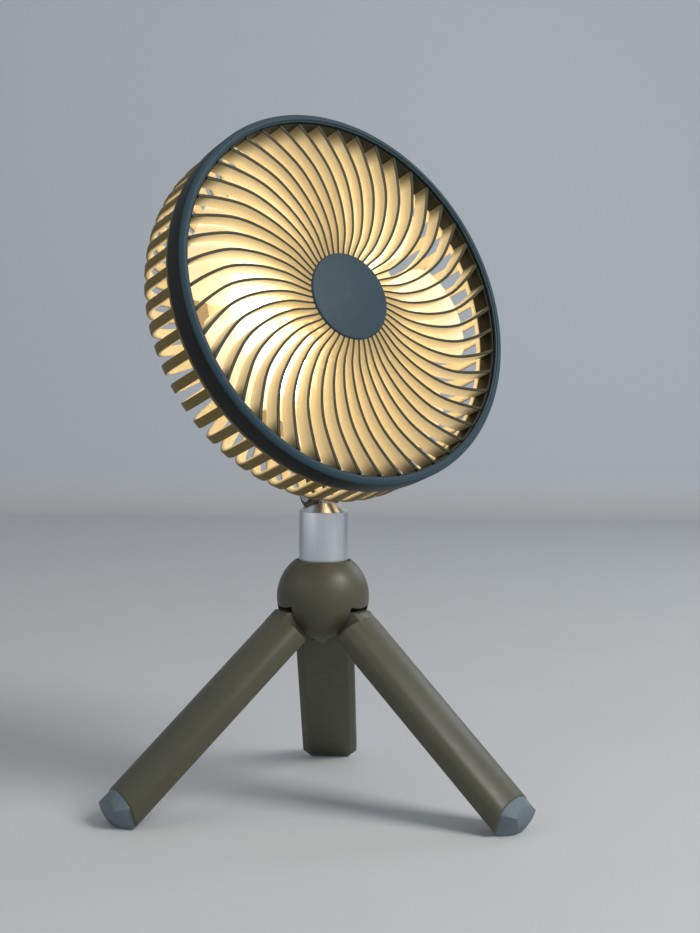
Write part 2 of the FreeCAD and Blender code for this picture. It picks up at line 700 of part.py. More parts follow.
def neck_knuckle():
    # built in the standing frame, where the hinge lies across the stem
    pivot = V(0, PIVOT_BEHIND, STEM_TOP + PIVOT_RISE)
    cap = lathe([
        (0, STEM_TOP), (STEM_R, STEM_TOP), (STEM_R - NECK_CAP_TAPER, STEM_TOP + NECK_CAP),
        (0, STEM_TOP + NECK_CAP)], Z_AXIS)
    ear_room = [
        rod(EAR_R + MOVE_GAP, low, high, X_AXIS, pivot)
        for low, high in ((-STEM_R, -KNUCKLE_HALF), (KNUCKLE_HALF, STEM_R))]
    plug = rod(STEM_R - STEM_WALL - RUN_FIT, STEM_TOP - NECK_PLUG, STEM_TOP, Z_AXIS)
    eye = rod(EAR_R, -KNUCKLE_HALF, KNUCKLE_HALF, X_AXIS, pivot)
    foot = box((-KNUCKLE_HALF, KNUCKLE_HALF), (pivot.y - EAR_R, pivot.y + EAR_R), (STEM_TOP, pivot.z))
    hole = rod(TILT_PIN_R + RUN_FIT, -STEM_R, STEM_R, X_AXIS, pivot)
    return joined([cap.cut(ear_room), plug, eye, foot]).cut(hole)


# Stem and swivel

def stem_tube():
    return ring(STEM_R - STEM_WALL, STEM_R, STEM_BOTTOM, STEM_TOP, Z_AXIS)


def stem_spindle():
    plug = STEM_R - STEM_WALL - RUN_FIT
    return lathe([
        (0, SPINDLE_END), (SPINDLE_R, SPINDLE_END), (SPINDLE_R, STEM_BOTTOM), (plug, STEM_BOTTOM),
        (plug, STEM_BOTTOM + SPINDLE_PLUG), (0, STEM_BOTTOM + SPINDLE_PLUG)], Z_AXIS)


def swivel_washer():
    return ring(BUSH_R, STEM_R, SOCKET_FLOOR, SOCKET_FLOOR + SOCKET_WASHER, Z_AXIS)


def swivel_bush():
    return ring(SPINDLE_R + RUN_FIT, BUSH_R, BUSH_BOTTOM, SOCKET_FLOOR, Z_AXIS)


def spring_washer():
    return ring(SPINDLE_R, SWIVEL_NUT_R, SWIVEL_NUT_TOP, SPRING_WASHER_TOP, Z_AXIS)


def swivel_nut():
    corner = Part.Vertex(V(SWIVEL_NUT_R, 0, SWIVEL_NUT_BOTTOM))
    corners = [spot.Point for spot in spread(corner, SWIVEL_NUT_SIDES, Z_AXIS)]
    hexagon = prism(corners, Z_AXIS * SWIVEL_NUT)
    return hexagon.cut(rod(SPINDLE_R, SPINDLE_END, STEM_BOTTOM, Z_AXIS))


# Hub ball

def ball():
    return Part.makeSphere(BALL_R, Z_AXIS * BALL_Z)


def at_legs(shape):
    return [turned(shape, azimuth, Z_AXIS) for azimuth in LEG_AZIMUTHS.values()]


def leg_slot():
    # side outline of the room that a leg's tongue needs, from spread to folded
    crown = LEG_CROWN + MOVE_GAP
    outside = [in_leg_plane(REACH, crown), in_leg_plane(TONGUE_CROWN_START - SLOT_CROWN_ROOM, crown)]
    top = BALL_Z - SEAM_DROP + TONGUE_TIP_R + MOVE_GAP
    bottom = BALL_Z - REACH
    inside = [V(SLOT_INNER + TONGUE_TIP_R, 0, top), V(SLOT_INNER, 0, top), V(SLOT_INNER, 0, bottom)]
    half = TONGUE_WIDTH / 2 + MOVE_GAP
    corners = [corner - Y_AXIS * half for corner in outside + inside]
    return prism(corners, Y_AXIS * half * 2)


def hub_body():
    top = BALL_Z + BALL_TOP_CUT
    lid = rod(BALL_R, top, top + BALL_R, Z_AXIS)
    mouth = Part.makeCone(STEM_R + MOVE_GAP, MOUTH_R, MOUTH_DEPTH, Z_AXIS * (top - MOUTH_DEPTH), Z_AXIS)
    bore = rod(STEM_R + MOVE_GAP, SOCKET_FLOOR, top, Z_AXIS)
    core = rod(BUSH_R, 0, SOCKET_FLOOR, Z_AXIS)
    pocket = rod(POCKET_R, 0, BUSH_BOTTOM, Z_AXIS)
    cuts = [lid, mouth, bore, core, pocket] + leg_pin_rods() + at_legs(leg_slot())
    cuts += hub_screw_rods(HUB_SCREW_R, HUB_SCREW_HEAD_Z, HUB_SCREW_TOP)
    cuts += hub_screw_rods(HUB_SCREW_HEAD_R + SIDE_GAP, 0, HUB_SCREW_HEAD_Z)
    return ball().cut(cuts)


def hub_upper():
    return hub_body().common(rod(BALL_R, BALL_Z - SEAM_DROP, BALL_Z + BALL_R, Z_AXIS))


def hub_lower():
    return hub_body().common(rod(BALL_R, BALL_Z - BALL_R, BALL_Z - SEAM_DROP, Z_AXIS))


def hub_screw_rods(radius, low, high):
    # upright, halfway between the legs
    upright = rod(radius, low, high, Z_AXIS, X_AXIS * HUB_SCREW_CIRCLE)
    return at_legs(turned(upright, LEG_STEP / 2, Z_AXIS))


def hub_screws():
    shanks = hub_screw_rods(HUB_SCREW_R, HUB_SCREW_HEAD_Z, HUB_SCREW_TOP)
    heads = hub_screw_rods(HUB_SCREW_HEAD_R, HUB_SCREW_HEAD_Z - HUB_SCREW_HEAD, HUB_SCREW_HEAD_Z)
    return Part.makeCompound([joined([shank, head]) for shank, head in zip(shanks, heads)])


def screw_plugs():
    # flush covers pressed into the three screw holes
    top = HUB_SCREW_HEAD_Z - HUB_SCREW_HEAD - SIDE_GAP
    plugs = hub_screw_rods(HUB_SCREW_HEAD_R + SIDE_GAP, 0, top)
    return Part.makeCompound([plug.common(ball()) for plug in plugs])


def leg_pin_rods():
    middle = V(LEG_PIVOT_R, 0, BALL_Z - SEAM_DROP)
    return at_legs(rod(LEG_PIN_R, -LEG_PIN_HALF, LEG_PIN_HALF, Y_AXIS, middle))


def leg_pins():
    return Part.makeCompound(leg_pin_rods())


def hub_plug():
    return rod(POCKET_R - SIDE_GAP, 0, HUB_PLUG_TOP, Z_AXIS).common(ball())


# Legs and feet

def in_leg_plane(along, height):
    # a point along the leg and square to it, in the upright plane of +X
    slope = math.radians(LEG_SLOPE)
    return V(
        along * math.cos(slope) + height * math.sin(slope), 0,
        BALL_Z - along * math.sin(slope) + height * math.cos(slope))


def laid_as_leg(shape):
    return moved(turned(shape, LEG_SLOPE, Y_AXIS), Z_AXIS * BALL_Z)


def leg_section(start, end, inset=0.0):
    # crowned top, rounded shoulders, upright sides and a keel that lets three legs close up
    half = LEG_WIDTH / 2 - inset
    crown = V(start, 0, LEG_CROWN - inset)
    right = [
        V(start, half, LEG_SHOULDER - inset), V(start, half, LEG_SIDE_BOTTOM),
        V(start, LEG_KEEL_HALF, LEG_KEEL + inset)]
    left = [V(corner.x, -corner.y, corner.z) for corner in reversed(right)]
    corners = right + left
    edges = [Part.Arc(left[-1], crown, right[0]).toShape()]
    edges += [Part.makeLine(a, b) for a, b in zip(corners, corners[1:])]
    bar = Part.Face(Part.Wire(edges)).extrude(X_AXIS * (end - start))
    shoulders = [edge for edge in edges_along(bar, X_AXIS) if edge.CenterOfMass.z > 0]
    return bar.makeFillet(LEG_SHOULDER_R, shoulders)


def leg_pivot():
    slope = math.radians(LEG_SLOPE)
    along = LEG_PIVOT_R * math.cos(slope) + SEAM_DROP * math.sin(slope)
    return V(along, 0, LEG_PIVOT_R * math.sin(slope) - SEAM_DROP * math.cos(slope))


def tongue():
    pivot = leg_pivot()
    half = TONGUE_WIDTH / 2
    outline = [
        (LEG_START + EDGE_ROUND, LEG_CROWN - EDGE_ROUND), (TONGUE_CROWN_START, LEG_CROWN - EDGE_ROUND),
        (pivot.x, pivot.z + TONGUE_TIP_R), (pivot.x, pivot.z - TONGUE_TIP_R),
        (LEG_START + EDGE_ROUND, pivot.z - TONGUE_TIP_R)]
    blade = prism([V(along, -half, height) for along, height in outline], Y_AXIS * TONGUE_WIDTH)
    return blade.fuse(rod(TONGUE_TIP_R, -half, half, Y_AXIS, pivot))


def ball_room():
    # the ball as the folded and the spread leg see it
    spread_ball = Part.makeSphere(BALL_R + MOVE_GAP)
    return [spread_ball, turned(spread_ball, LEG_FOLD, Y_AXIS * -1, leg_pivot())]


def leg():
    body = leg_section(LEG_START, LEG_END).cut(ball_room())
    width = FOOT_PLUG_WIDTH / 2 + SIDE_GAP
    height = FOOT_PLUG_HEIGHT / 2 + SIDE_GAP
    socket = box((LEG_END - FOOT_PLUG_LENGTH - SIDE_GAP, LEG_END), (-width, width), (-height, height))
    bore = rod(LEG_PIN_R + RUN_FIT, -LEG_WIDTH, LEG_WIDTH, Y_AXIS, leg_pivot())
    return laid_as_leg(body.fuse(tongue()).cut([socket, bore]))


def foot():
    # round seen from the side and from above, and flat where it stands
    round_r = LEG_WIDTH / 2 - FOOT_INSET
    side_round = rod(FOOT_NOSE_R, -LEG_WIDTH, LEG_WIDTH, Y_AXIS, V(LEG_END, 0, FOOT_NOSE_HEIGHT))
    plan_round = rod(round_r, -LEG_WIDTH, LEG_WIDTH, Z_AXIS, V(FOOT_END - round_r, 0, 0))
    pad = leg_section(LEG_END, FOOT_END, FOOT_INSET).common(side_round).common(plan_round)
    width = FOOT_PLUG_WIDTH / 2
    height = FOOT_PLUG_HEIGHT / 2
    plug = box((LEG_END - FOOT_PLUG_LENGTH, LEG_END), (-width, width), (-height, height))
    above = box((0, REACH), (-LEG_WIDTH, LEG_WIDTH), (0, REACH))
    return laid_as_leg(pad.fuse(plug)).common(above)


# Standing frame and export

def in_head(shape):
    # from the level head, face centre at the origin, to its tilted place on the stem
    return moved(turned(shape, -HEAD_TILT, X_AXIS), V(0, HEAD_Y, HEAD_Z))


def head_nodes():
    nodes = {
        "front_rim": front_rim(), "front_grille": front_grille(), "front_cap": front_cap(),
        "rear_cage": rear_cage(), "rear_housing": rear_housing(), "rear_cover": rear_cover(),
        "cover_screws": cover_screws(), "motor_base": motor_base(), "motor_bearings": motor_bearings(),
        "motor_stator": motor_stator(), "motor_windings": motor_windings(), "motor_rotor": motor_rotor(),
        "magnet_ring": magnet_ring(), "motor_shaft": motor_shaft(), "impeller": impeller(),
        "impeller_nut": impeller_nut(), "led_board": led_board(), "led_chips": led_chips(),
        "light_diffuser": light_diffuser(), "battery_cells": battery_cells(),
        "control_board": control_board(), "tact_switches": tact_switches(), "charge_port": charge_port(),
        "status_lens": status_lens(), "neck_bracket": neck_bracket(), "bracket_screws": bracket_screws(),
        "tilt_pin": tilt_pin(), "tilt_nut": tilt_nut(), "tilt_washers": tilt_washers()}
    for name, x in BUTTON_X.items():
        nodes[name] = button(x)
    return {name: in_head(shape) for name, shape in nodes.items()}


def stand_nodes():
    nodes = {
        "neck_knuckle": neck_knuckle(), "stem_tube": stem_tube(), "stem_spindle": stem_spindle(),
        "spring_washer": spring_washer(), "swivel_nut": swivel_nut(), "swivel_washer": swivel_washer(),
        "swivel_bush": swivel_bush(), "hub_upper": hub_upper(), "hub_lower": hub_lower(),
        "hub_screws": hub_screws(), "screw_plugs": screw_plugs(), "leg_pins": leg_pins(),
        "hub_plug": hub_plug()}
    for name, azimuth in LEG_AZIMUTHS.items():
        nodes["leg_" + name] = turned(leg(), azimuth, Z_AXIS)
        nodes["foot_" + name] = turned(foot(), azimuth, Z_AXIS)
    return nodes


os.makedirs("parts", exist_ok=True)
for node, shape in {**head_nodes(), **stand_nodes()}.items():
    shape.exportStep("parts/" + node + ".step")
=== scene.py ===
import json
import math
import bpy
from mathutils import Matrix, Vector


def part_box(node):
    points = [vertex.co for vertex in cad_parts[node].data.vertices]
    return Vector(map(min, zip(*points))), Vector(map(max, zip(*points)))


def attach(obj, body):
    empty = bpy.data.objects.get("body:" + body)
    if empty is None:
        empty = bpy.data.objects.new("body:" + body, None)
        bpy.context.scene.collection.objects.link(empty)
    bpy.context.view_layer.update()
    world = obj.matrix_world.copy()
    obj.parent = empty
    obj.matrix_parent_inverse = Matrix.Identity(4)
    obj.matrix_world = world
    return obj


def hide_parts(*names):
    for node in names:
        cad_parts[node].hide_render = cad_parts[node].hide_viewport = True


bl_info = {
    "name": "Tripod Camping Fan",
    "version": (1, 0, 0),
    "blender": (4, 5, 0),
    "location": "3D View > Sidebar > Camping Fan",
    "description": "Dresses a tripod camping fan, its light ring lit, and sets its table, lamps and camera",
    "category": "Add Mesh",
}

import bpy
from bpy.props import FloatProperty, FloatVectorProperty, IntProperty, PointerProperty
from mathutils import Matrix, Quaternion, Vector

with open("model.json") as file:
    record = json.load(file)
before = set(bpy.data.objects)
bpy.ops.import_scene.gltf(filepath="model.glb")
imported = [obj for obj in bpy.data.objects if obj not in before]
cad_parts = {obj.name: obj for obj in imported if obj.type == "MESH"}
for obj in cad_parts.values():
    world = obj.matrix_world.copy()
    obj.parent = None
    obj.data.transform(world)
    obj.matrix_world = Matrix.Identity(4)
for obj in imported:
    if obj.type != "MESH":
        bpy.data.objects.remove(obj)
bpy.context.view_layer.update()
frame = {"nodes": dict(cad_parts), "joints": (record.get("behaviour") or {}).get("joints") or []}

MM = 0.001
JOINTS = {joint["name"]: joint for joint in frame["joints"]}
SPIN_AXIS = JOINTS["fan_spin"]["axis"]
FACE_CENTRE = Vector(JOINTS["fan_spin"]["pos_m"])
HEAD_TILT = math.atan2(SPIN_AXIS[2], -SPIN_AXIS[1])
# The level head looks along -Y with its face centre at the origin; this carries it to its place
HEAD_PLACE = Matrix.Translation(FACE_CENTRE) @ Matrix.Rotation(-HEAD_TILT, 4, "X")
# A turned piece is spun round +Z with its height as the head's depth
TO_DEPTH = Matrix.Rotation(-math.pi / 2, 4, "X")
TURNED_TO_HEAD = HEAD_PLACE @ TO_DEPTH
LEGS = ("left", "front", "back")

# Sizes in millimetres that follow the solids
BAND_GAP, BAND_WALL = 0.3, 1.9
SEAT_GAP = 0.3
WEB_FRONT, WEB_BACK, WEB_LAP = 4.1, 5.6, 0.6
CAP_BACK = 4.0
CAGE_BAND_IN, CAGE_BAND_OUT, CAGE_BAND_LENGTH = 84.6, 89.3, 2.5
CAGE_RING_IN, CAGE_RING_OUT = 48.0, 62.5
CAGE_RING_DEPTHS = (42.3, 44.7)
PAD_SIDES, PAD_HEIGHTS = (-16.4, 16.4), (-72.4, -56.5)
LENS_WALL = 1.2
HUB_BORE, HUB_FRONT, HUB_BACK = 1.6, 13.0, 26.0
HUB_FACE, HUB_SKIRT = 1.6, 2.0
TONGUE_HALF, TONGUE_LAP, TONGUE_COVER = 7.0, 4.0, 0.8
EYE_RADIUS = 5.0
BALL_CLEARANCE = 0.3
FOOT_LAP = 2.0
NOSE_LIFT = 0.2
# Reach of a drum much wider than a leg, to cut its rounded end
DRUM_REACH = 20.0

# How far a leg folds down from its spread pose
LEG_FOLD = math.radians(47.0)


# Sizes and colours

def amount(name, description, default):
    return FloatProperty(name=name, description=description, default=default, min=0.0)


def count(name, description, default, least):
    return IntProperty(name=name, description=description, default=default, min=least)


def length(name, description, millimetres):
    return FloatProperty(
        name=name, description=description, default=millimetres * MM, min=0.0, unit="LENGTH", precision=5)


def colour(name, description, value):
    return FloatVectorProperty(
        name=name, description=description, default=value, size=3, min=0.0, max=1.0, subtype="COLOR")


class FanHeadSizes(bpy.types.PropertyGroup):
    rim_radius: length("Rim radius", "Outside of the front rim", 90.0)
    rim_depth: length("Rim depth", "Front rim, front to back", 11.5)
    rim_wall: length("Rim wall", "Thickness of the rim's side", 2.8)
    rim_bevel: length("Rim bevel", "Bevel round the rim's front edge", 1.8)
    lip_radius: length("Lip radius", "Inside of the rim's front lip", 86.0)
    lip_step: length("Lip step", "Step down from the rim to its lip", 0.7)
    lip_depth: length("Lip depth", "Back of the rim's front lip", 2.2)
    cap_radius: length("Cap radius", "Centre cap of the grille", 21.0)
    cap_front: length("Cap front", "Depth of the cap's face", 0.6)
    cap_seat: length("Cap seat", "Spigot that holds the cap in the grille", 18.7)
    grille_hub: length("Grille hub", "Outside of the grille's hub ring, under the cap's edge", 20.6)
    grille_band: length("Grille band", "Inside of the grille's outer band", 85.0)
    slat_count: count("Slats", "Spiral slats in the front grille", 48, 3)
    slat_front: length("Slat front", "Depth of the slats' front edges", 1.6)
    slat_depth: length("Slat depth", "Slats, front to back", 9.0)
    slat_root: length("Slat root", "Slat thickness at the cap", 0.8)
    slat_tip: length("Slat tip", "Slat thickness at the rim", 1.5)
    rib_count: count("Ribs", "Ribs in the rear cage", 58, 3)
    rib_width: length("Rib width", "Ribs, across", 4.4)
    rib_thickness: length("Rib thickness", "Ribs, outside to inside", 2.4)
    rib_start: length("Rib start", "Depth at which the ribs leave the band", 12.5)
    rib_end: length("Rib end", "Radius at which the ribs meet the back ring", 61.0)
    cage_radius: length("Cage radius", "Outside of the rear cage", 89.1)
    cage_depth: length("Cage depth", "Back of the rear cage", 45.0)
    cage_corner: length("Cage corner", "Outer radius of the ribs' corner", 16.2)
    light_inner: length("Light inner radius", "Inside of the light ring's lens", 24.5)
    light_outer: length("Light outer radius", "Outside of the light ring's lens", 45.5)
    light_front: length("Light front", "Depth of the lens's front face", 27.4)
    light_back: length("Light back", "Depth of the wall behind the lens", 31.0)
    blade_count: count("Blades", "Blades of the impeller", 7, 1)
    blade_middle: length("Blade middle", "Depth of the blades' middle", 19.2)
    blade_thickness: length("Blade thickness", "Blades, front to back", 1.7)
    impeller_hub: length("Impeller hub", "Outside of the impeller's hub", 22.6)


class FanStandSizes(bpy.types.PropertyGroup):
    ball_radius: length("Ball radius", "Hub ball", 21.6)
    ball_height: length("Ball height", "Centre of the hub ball above the table", 97.7)
    stem_radius: length("Stem radius", "Stem tube, outside", 11.5)
    stem_wall: length("Stem wall", "Stem tube's wall", 1.2)
    leg_width: length("Leg width", "Leg, across", 28.0)
    leg_crown: length("Leg crown", "Top of the leg above its axis", 11.2)
    leg_shoulder: length("Leg shoulder", "Where the crown would meet the side", 6.1)
    leg_round: length("Leg round", "Radius between the crown and the side", 6.0)
    leg_side: length("Leg side", "Bottom of the upright side below the axis", 2.0)
    leg_keel: length("Leg keel", "Underside of the leg below the axis", 4.1)
    leg_keel_half: length("Leg keel half width", "Half of the flat underside", 10.5)
    leg_start: length("Leg start", "Leg's upper end from the ball's centre", 23.5)
    leg_end: length("Leg end", "Leg's lower end from the ball's centre", 131.0)
    foot_length: length("Foot length", "Rubber foot beyond the leg", 12.0)
    seam_slant: length("Seam slant", "How much further the leg reaches at its keel", 6.6)
    foot_inset: length("Foot inset", "Step in from the leg to its foot", 0.4)
    foot_nose: length("Foot nose", "Rounding of the foot, seen from the side", 11.6)
    leg_slope: FloatProperty(
        name="Leg slope", description="Leg's fall below the horizontal", default=math.radians(43.0),
        subtype="ANGLE")


class FanFinishes(bpy.types.PropertyGroup):
    # Slate is the cap's colour; on the rim's front face it stands for painted cool light
    slate: colour("Slate", "Cap plastic and the rim's front edge", (0.024, 0.050, 0.066))
    rim_side: colour("Rim side", "Rim plastic round its side", (0.010, 0.012, 0.011))
    slat: colour("Slat", "Front edges of the grille", (0.045, 0.043, 0.021))
    # Rib: the olive plastic painted warmer and paler for the lamp's warm light on the ribs
    rib: colour("Rib", "Outsides of the rear ribs", (0.165, 0.122, 0.040))
    khaki: colour("Khaki", "Hub and leg plastic", (0.074, 0.073, 0.047))
    # Colour of the painted lamp light on the inner walls and on the blades
    painted_lamp_light: colour("Lit cream", "Inner walls where the lamp shines on them", (0.86, 0.66, 0.36))
    lamp: colour("Lamp", "Light of the light ring", (1.0, 0.86, 0.62))
    rubber: colour("Rubber", "Feet", (0.115, 0.155, 0.175))
    aluminium: colour("Aluminium", "Stem tube", (0.60, 0.62, 0.64))
    steel: colour("Steel", "Screws, pins and nuts", (0.46, 0.46, 0.47))
    lamp_strength: amount("Lamp strength", "Brightness of the light ring", 9.0)
    # Strength of the painted lamp light that the blades glow with
    painted_blade_light: amount("Blade glow", "Brightness of the milky blades over the lamp", 1.0)
    # Strength of the painted lamp light that the inner walls glow with
    painted_wall_light: amount("Wall glow", "Brightness that the lit inner walls keep by themselves", 0.45)


class FanStage(bpy.types.PropertyGroup):
    table: colour("Table", "Table top", (0.56, 0.57, 0.58))
    backdrop: colour("Backdrop", "Wall behind the table", (0.60, 0.64, 0.69))
    key_power: amount("Key lamp", "Soft lamp at the right", 18.0)
    fill_power: amount("Fill lamp", "Soft lamp at the left", 1.8)
    sky: amount("Room light", "Even light of the room", 0.32)
    camera_lens: FloatProperty(name="Lens", description="Focal length in millimetres", default=73.3, min=1.0)


def head():
    return bpy.context.scene.fan_head


def stand():
    return bpy.context.scene.fan_stand


def finishes():
    return bpy.context.scene.fan_finishes


# Shader maths: a value in a material, with arithmetic that adds its Math nodes

class Value:
    def __init__(self, paint, socket):
        self.paint = paint
        self.socket = socket

    def math(self, operation, *others):
        inputs = dict(enumerate((self,) + others))
        return self.paint.add("ShaderNodeMath", {"operation": operation}, inputs)

    def flipped(self, operation, other):
        return self.paint.add("ShaderNodeMath", {"operation": operation}, {0: other, 1: self})

    def __add__(self, other):
        return self.math("ADD", other)

    def __sub__(self, other):
        return self.math("SUBTRACT", other)

    def __mul__(self, other):
        return self.math("MULTIPLY", other)

    def __pow__(self, other):
        return self.math("POWER", other)

    def __radd__(self, other):
        return self.flipped("ADD", other)

    def __rsub__(self, other):
        return self.flipped("SUBTRACT", other)

    def __rmul__(self, other):
        return self.flipped("MULTIPLY", other)

    def rise(self, low, high):
        """0 below low, 1 above high, and a smooth step between."""
        return self.paint.add(
            "ShaderNodeMapRange", {"interpolation_type": "SMOOTHSTEP"},
            {"Value": self, "From Min": low, "From Max": high})

    def fall(self, low, high):
        return 1.0 - self.rise(low, high)


class Paint:
    """A node material that ends in one Principled shader."""

    def __init__(self, name):
        self.material = bpy.data.materials.new(name)
        self.material.use_nodes = True
        self.tree = self.material.node_tree
        self.tree.nodes.clear()
        self.shader = self.tree.nodes.new("ShaderNodeBsdfPrincipled")
        output = self.tree.nodes.new("ShaderNodeOutputMaterial")
        self.tree.links.new(self.shader.outputs[0], output.inputs[0])

    def connect(self, target, value):
        if isinstance(value, Value):
            self.tree.links.new(value.socket, target)
        elif target.type == "RGBA":
            target.default_value = (*value[:3], 1.0)
        else:
            target.default_value = value

    def add(self, kind, settings=None, sockets=None, output=0):
        node = self.tree.nodes.new(kind)
        for key, value in (settings or {}).items():
            setattr(node, key, value)
        for key, value in (sockets or {}).items():
            self.connect(node.inputs[key], value)
        return Value(self, node.outputs[output])

    def set(self, **sockets):
        for key, value in sockets.items():
            self.connect(self.shader.inputs[key.replace("_", " ")], value)
        return self.material

    def place(self, location=(0.0, 0.0, 0.0), rotation=(0.0, 0.0, 0.0), scale=(1.0, 1.0, 1.0)):
        """Object coordinates as seen from a piece's own place."""
        spot = self.add("ShaderNodeTexCoord", output=3)
        return self.add(
            "ShaderNodeMapping", {"vector_type": "TEXTURE"},
            {"Vector": spot, "Location": location, "Rotation": rotation, "Scale": scale})

    def head_place(self):
        return self.place(tuple(FACE_CENTRE), (-HEAD_TILT, 0.0, 0.0))

    def axes(self, spot):
        return [self.add("ShaderNodeSeparateXYZ", sockets={"Vector": spot}, output=i) for i in range(3)]

    def in_head(self):
        """Coordinates of the level head, with the depth behind its face and the distance from its axis."""
        spot = self.head_place()
        x, depth, z = self.axes(spot)
        return spot, depth, (x * x + z * z) ** 0.5

    def noise(self, spot, scale, detail=3.0, roughness=0.5):
        return self.add(
            "ShaderNodeTexNoise", sockets={
                "Vector": spot, "Scale": scale, "Detail": detail, "Roughness": roughness})

    def mixed(self, share, first, second):
        return self.add(
            "ShaderNodeMix", {"data_type": "RGBA"}, {0: share, 6: first, 7: second}, output=2)

    def bumped(self, height, distance):
        return self.add(
            "ShaderNodeBump", sockets={"Height": height, "Distance": distance, "Strength": 1.0})


def shade(value, factor):
    return tuple(min(1.0, part * factor) for part in value)


BLACK = (0.0, 0.0, 0.0)
# Depths of the grain in each finish, in metres
GRAIN = 0.00002
FINE_GRAIN = 0.000015
FROST = 0.00001


def moulded(name, base, roughness, gloss=0.25):
    """Fine-grained moulded plastic: slightly cloudy colour, rubbed patches and a spark-eroded grain."""
    paint = Paint(name)
    spot = paint.place()
    cloud = paint.noise(spot, 38.0, 4.0)
    rubbed = paint.noise(spot, 140.0, 3.0, 0.65).rise(0.50, 0.78)
    fine = paint.noise(spot, 2600.0, 2.0, 0.6)
    tone = paint.mixed(cloud, shade(base, 0.86), shade(base, 1.14))
    tone = paint.mixed(rubbed * 0.20, tone, shade(base, 1.7))
    return paint.set(
        Base_Color=tone, Roughness=roughness - 0.10 * rubbed + 0.06 * fine,
        Specular_IOR_Level=gloss, Normal=paint.bumped(fine, GRAIN))


def rim_plastic():
    """Dark satin rim whose front face and bevel are painted slate for the cool light on them, with a painted
    highlight along the outer edge.
    """
    paint = Paint("dark_rim_plastic")
    base, size = finishes().rim_side, head()
    spot, depth, radius = paint.in_head()
    cloud = paint.noise(spot, 45.0, 4.0)
    fine = paint.noise(spot, 2600.0, 2.0, 0.6)
    tone = paint.mixed(cloud, shade(base, 0.86), shade(base, 1.14))
    # Painted light: the front face and bevel take slate for the cool light that falls on them
    front = depth.fall(size.rim_bevel - 0.2 * MM, size.rim_bevel + 0.3 * MM)
    tone = paint.mixed(front, tone, finishes().slate)
    # Painted highlight: a paler slate along the outer front edge
    outermost = radius.rise(size.rim_radius - 2.0 * MM, size.rim_radius - 1.5 * MM)
    edge = depth.fall(0.2 * MM, 1.9 * MM) * outermost
    tone = paint.mixed(edge * 0.5, tone, shade(finishes().slate, 2.0))
    return paint.set(
        Base_Color=tone, Roughness=0.44 + 0.08 * fine, Specular_IOR_Level=0.2,
        Normal=paint.bumped(fine, GRAIN))


def slat_plastic():
    """Olive slats whose side walls are painted cream with the lamp's light behind them, as base colour and
    glow, brighter deeper in; towards the rim the painted light fades, and the band at the rim is painted
    dark for shade.
    """
    paint = Paint("spiral_slat_plastic")
    base, size = finishes().slat, head()
    spot, depth, radius = paint.in_head()
    front = size.slat_front
    # Painted light: the side walls behind the front edges take cream colour and glow for the lamp's light
    wall = depth.rise(front + 0.15 * MM, front + 0.9 * MM)
    # Painted light: brighter deeper in, nearer the lamp
    deep = depth.rise(front + 0.5 * MM, front + size.slat_depth)
    # Painted shade: the painted light fades out over the last 8 mm before the band
    outer = radius.rise(size.grille_band - 8.0 * MM, size.grille_band - 1.0 * MM)
    # Painted shade: the band at the rim is painted dark
    band = radius.rise(size.grille_band - 0.6 * MM, size.grille_band - 0.1 * MM)
    lit = wall * (1.0 - band)
    cloud = paint.noise(spot, 60.0, 4.0)
    fine = paint.noise(spot, 2400.0, 2.0, 0.6)
    drawn = paint.place(tuple(FACE_CENTRE), (-HEAD_TILT, 0.0, 0.0), (1.0, 0.12, 1.0))
    flow = paint.noise(drawn, 420.0, 2.0)
    olive = paint.mixed(cloud, shade(base, 0.82), shade(base, 1.18))
    cream = paint.mixed(flow, (0.50, 0.42, 0.26), (0.60, 0.52, 0.34))
    # Painted lamp light: how strongly the walls glow, then how far they turn cream, both fading towards the
    # rim
    share = lit * (0.55 + 0.45 * deep) * (1.0 - 0.85 * outer)
    glow = paint.mixed(share, BLACK, finishes().painted_lamp_light)
    tone = paint.mixed(lit * (1.0 - 0.75 * outer), olive, cream)
    # Painted shade: the band is darkened to three tenths of the olive
    return paint.set(
        Base_Color=paint.mixed(band, tone, shade(base, 0.3)), Roughness=0.46 + 0.10 * fine,
        Specular_IOR_Level=0.2, Normal=paint.bumped(fine, FINE_GRAIN), Emission_Color=glow,
        Emission_Strength=finishes().painted_wall_light)


def rib_plastic():
    """Olive ribs, darker outside, whose inner faces are painted cream with the lamp's light, as base colour
    and glow.
    """
    paint = Paint("rear_rib_plastic")
    base, size = finishes().rib, head()
    spot, depth, radius = paint.in_head()
    across = radius - (size.cage_radius - size.cage_corner)
    along = depth - (size.cage_depth - size.cage_corner)
    reach = (across.math("MAXIMUM", 0.0) ** 2.0 + along.math("MAXIMUM", 0.0) ** 2.0) ** 0.5
    inside = across.math("MAXIMUM", along).math("MINIMUM", 0.0)
    skin = size.cage_corner - reach - inside
    # Painted light: the inner faces, from about 2 mm in from the outside, take cream colour and glow for the
    # lamp's light
    wall = skin.rise(0.2 * MM, 2.0 * MM)
    cloud = paint.noise(spot, 55.0, 4.0)
    fine = paint.noise(spot, 2400.0, 2.0, 0.6)
    olive = paint.mixed(cloud, shade(base, 0.85), shade(base, 1.25))
    cream = paint.mixed(cloud, (0.44, 0.36, 0.20), (0.54, 0.46, 0.28))
    glow = paint.mixed(wall, BLACK, finishes().painted_lamp_light)
    return paint.set(
        Base_Color=paint.mixed(wall, olive, cream), Roughness=0.44 + 0.10 * fine,
        Specular_IOR_Level=0.25, Normal=paint.bumped(fine, GRAIN), Emission_Color=glow,
        Emission_Strength=finishes().painted_wall_light)


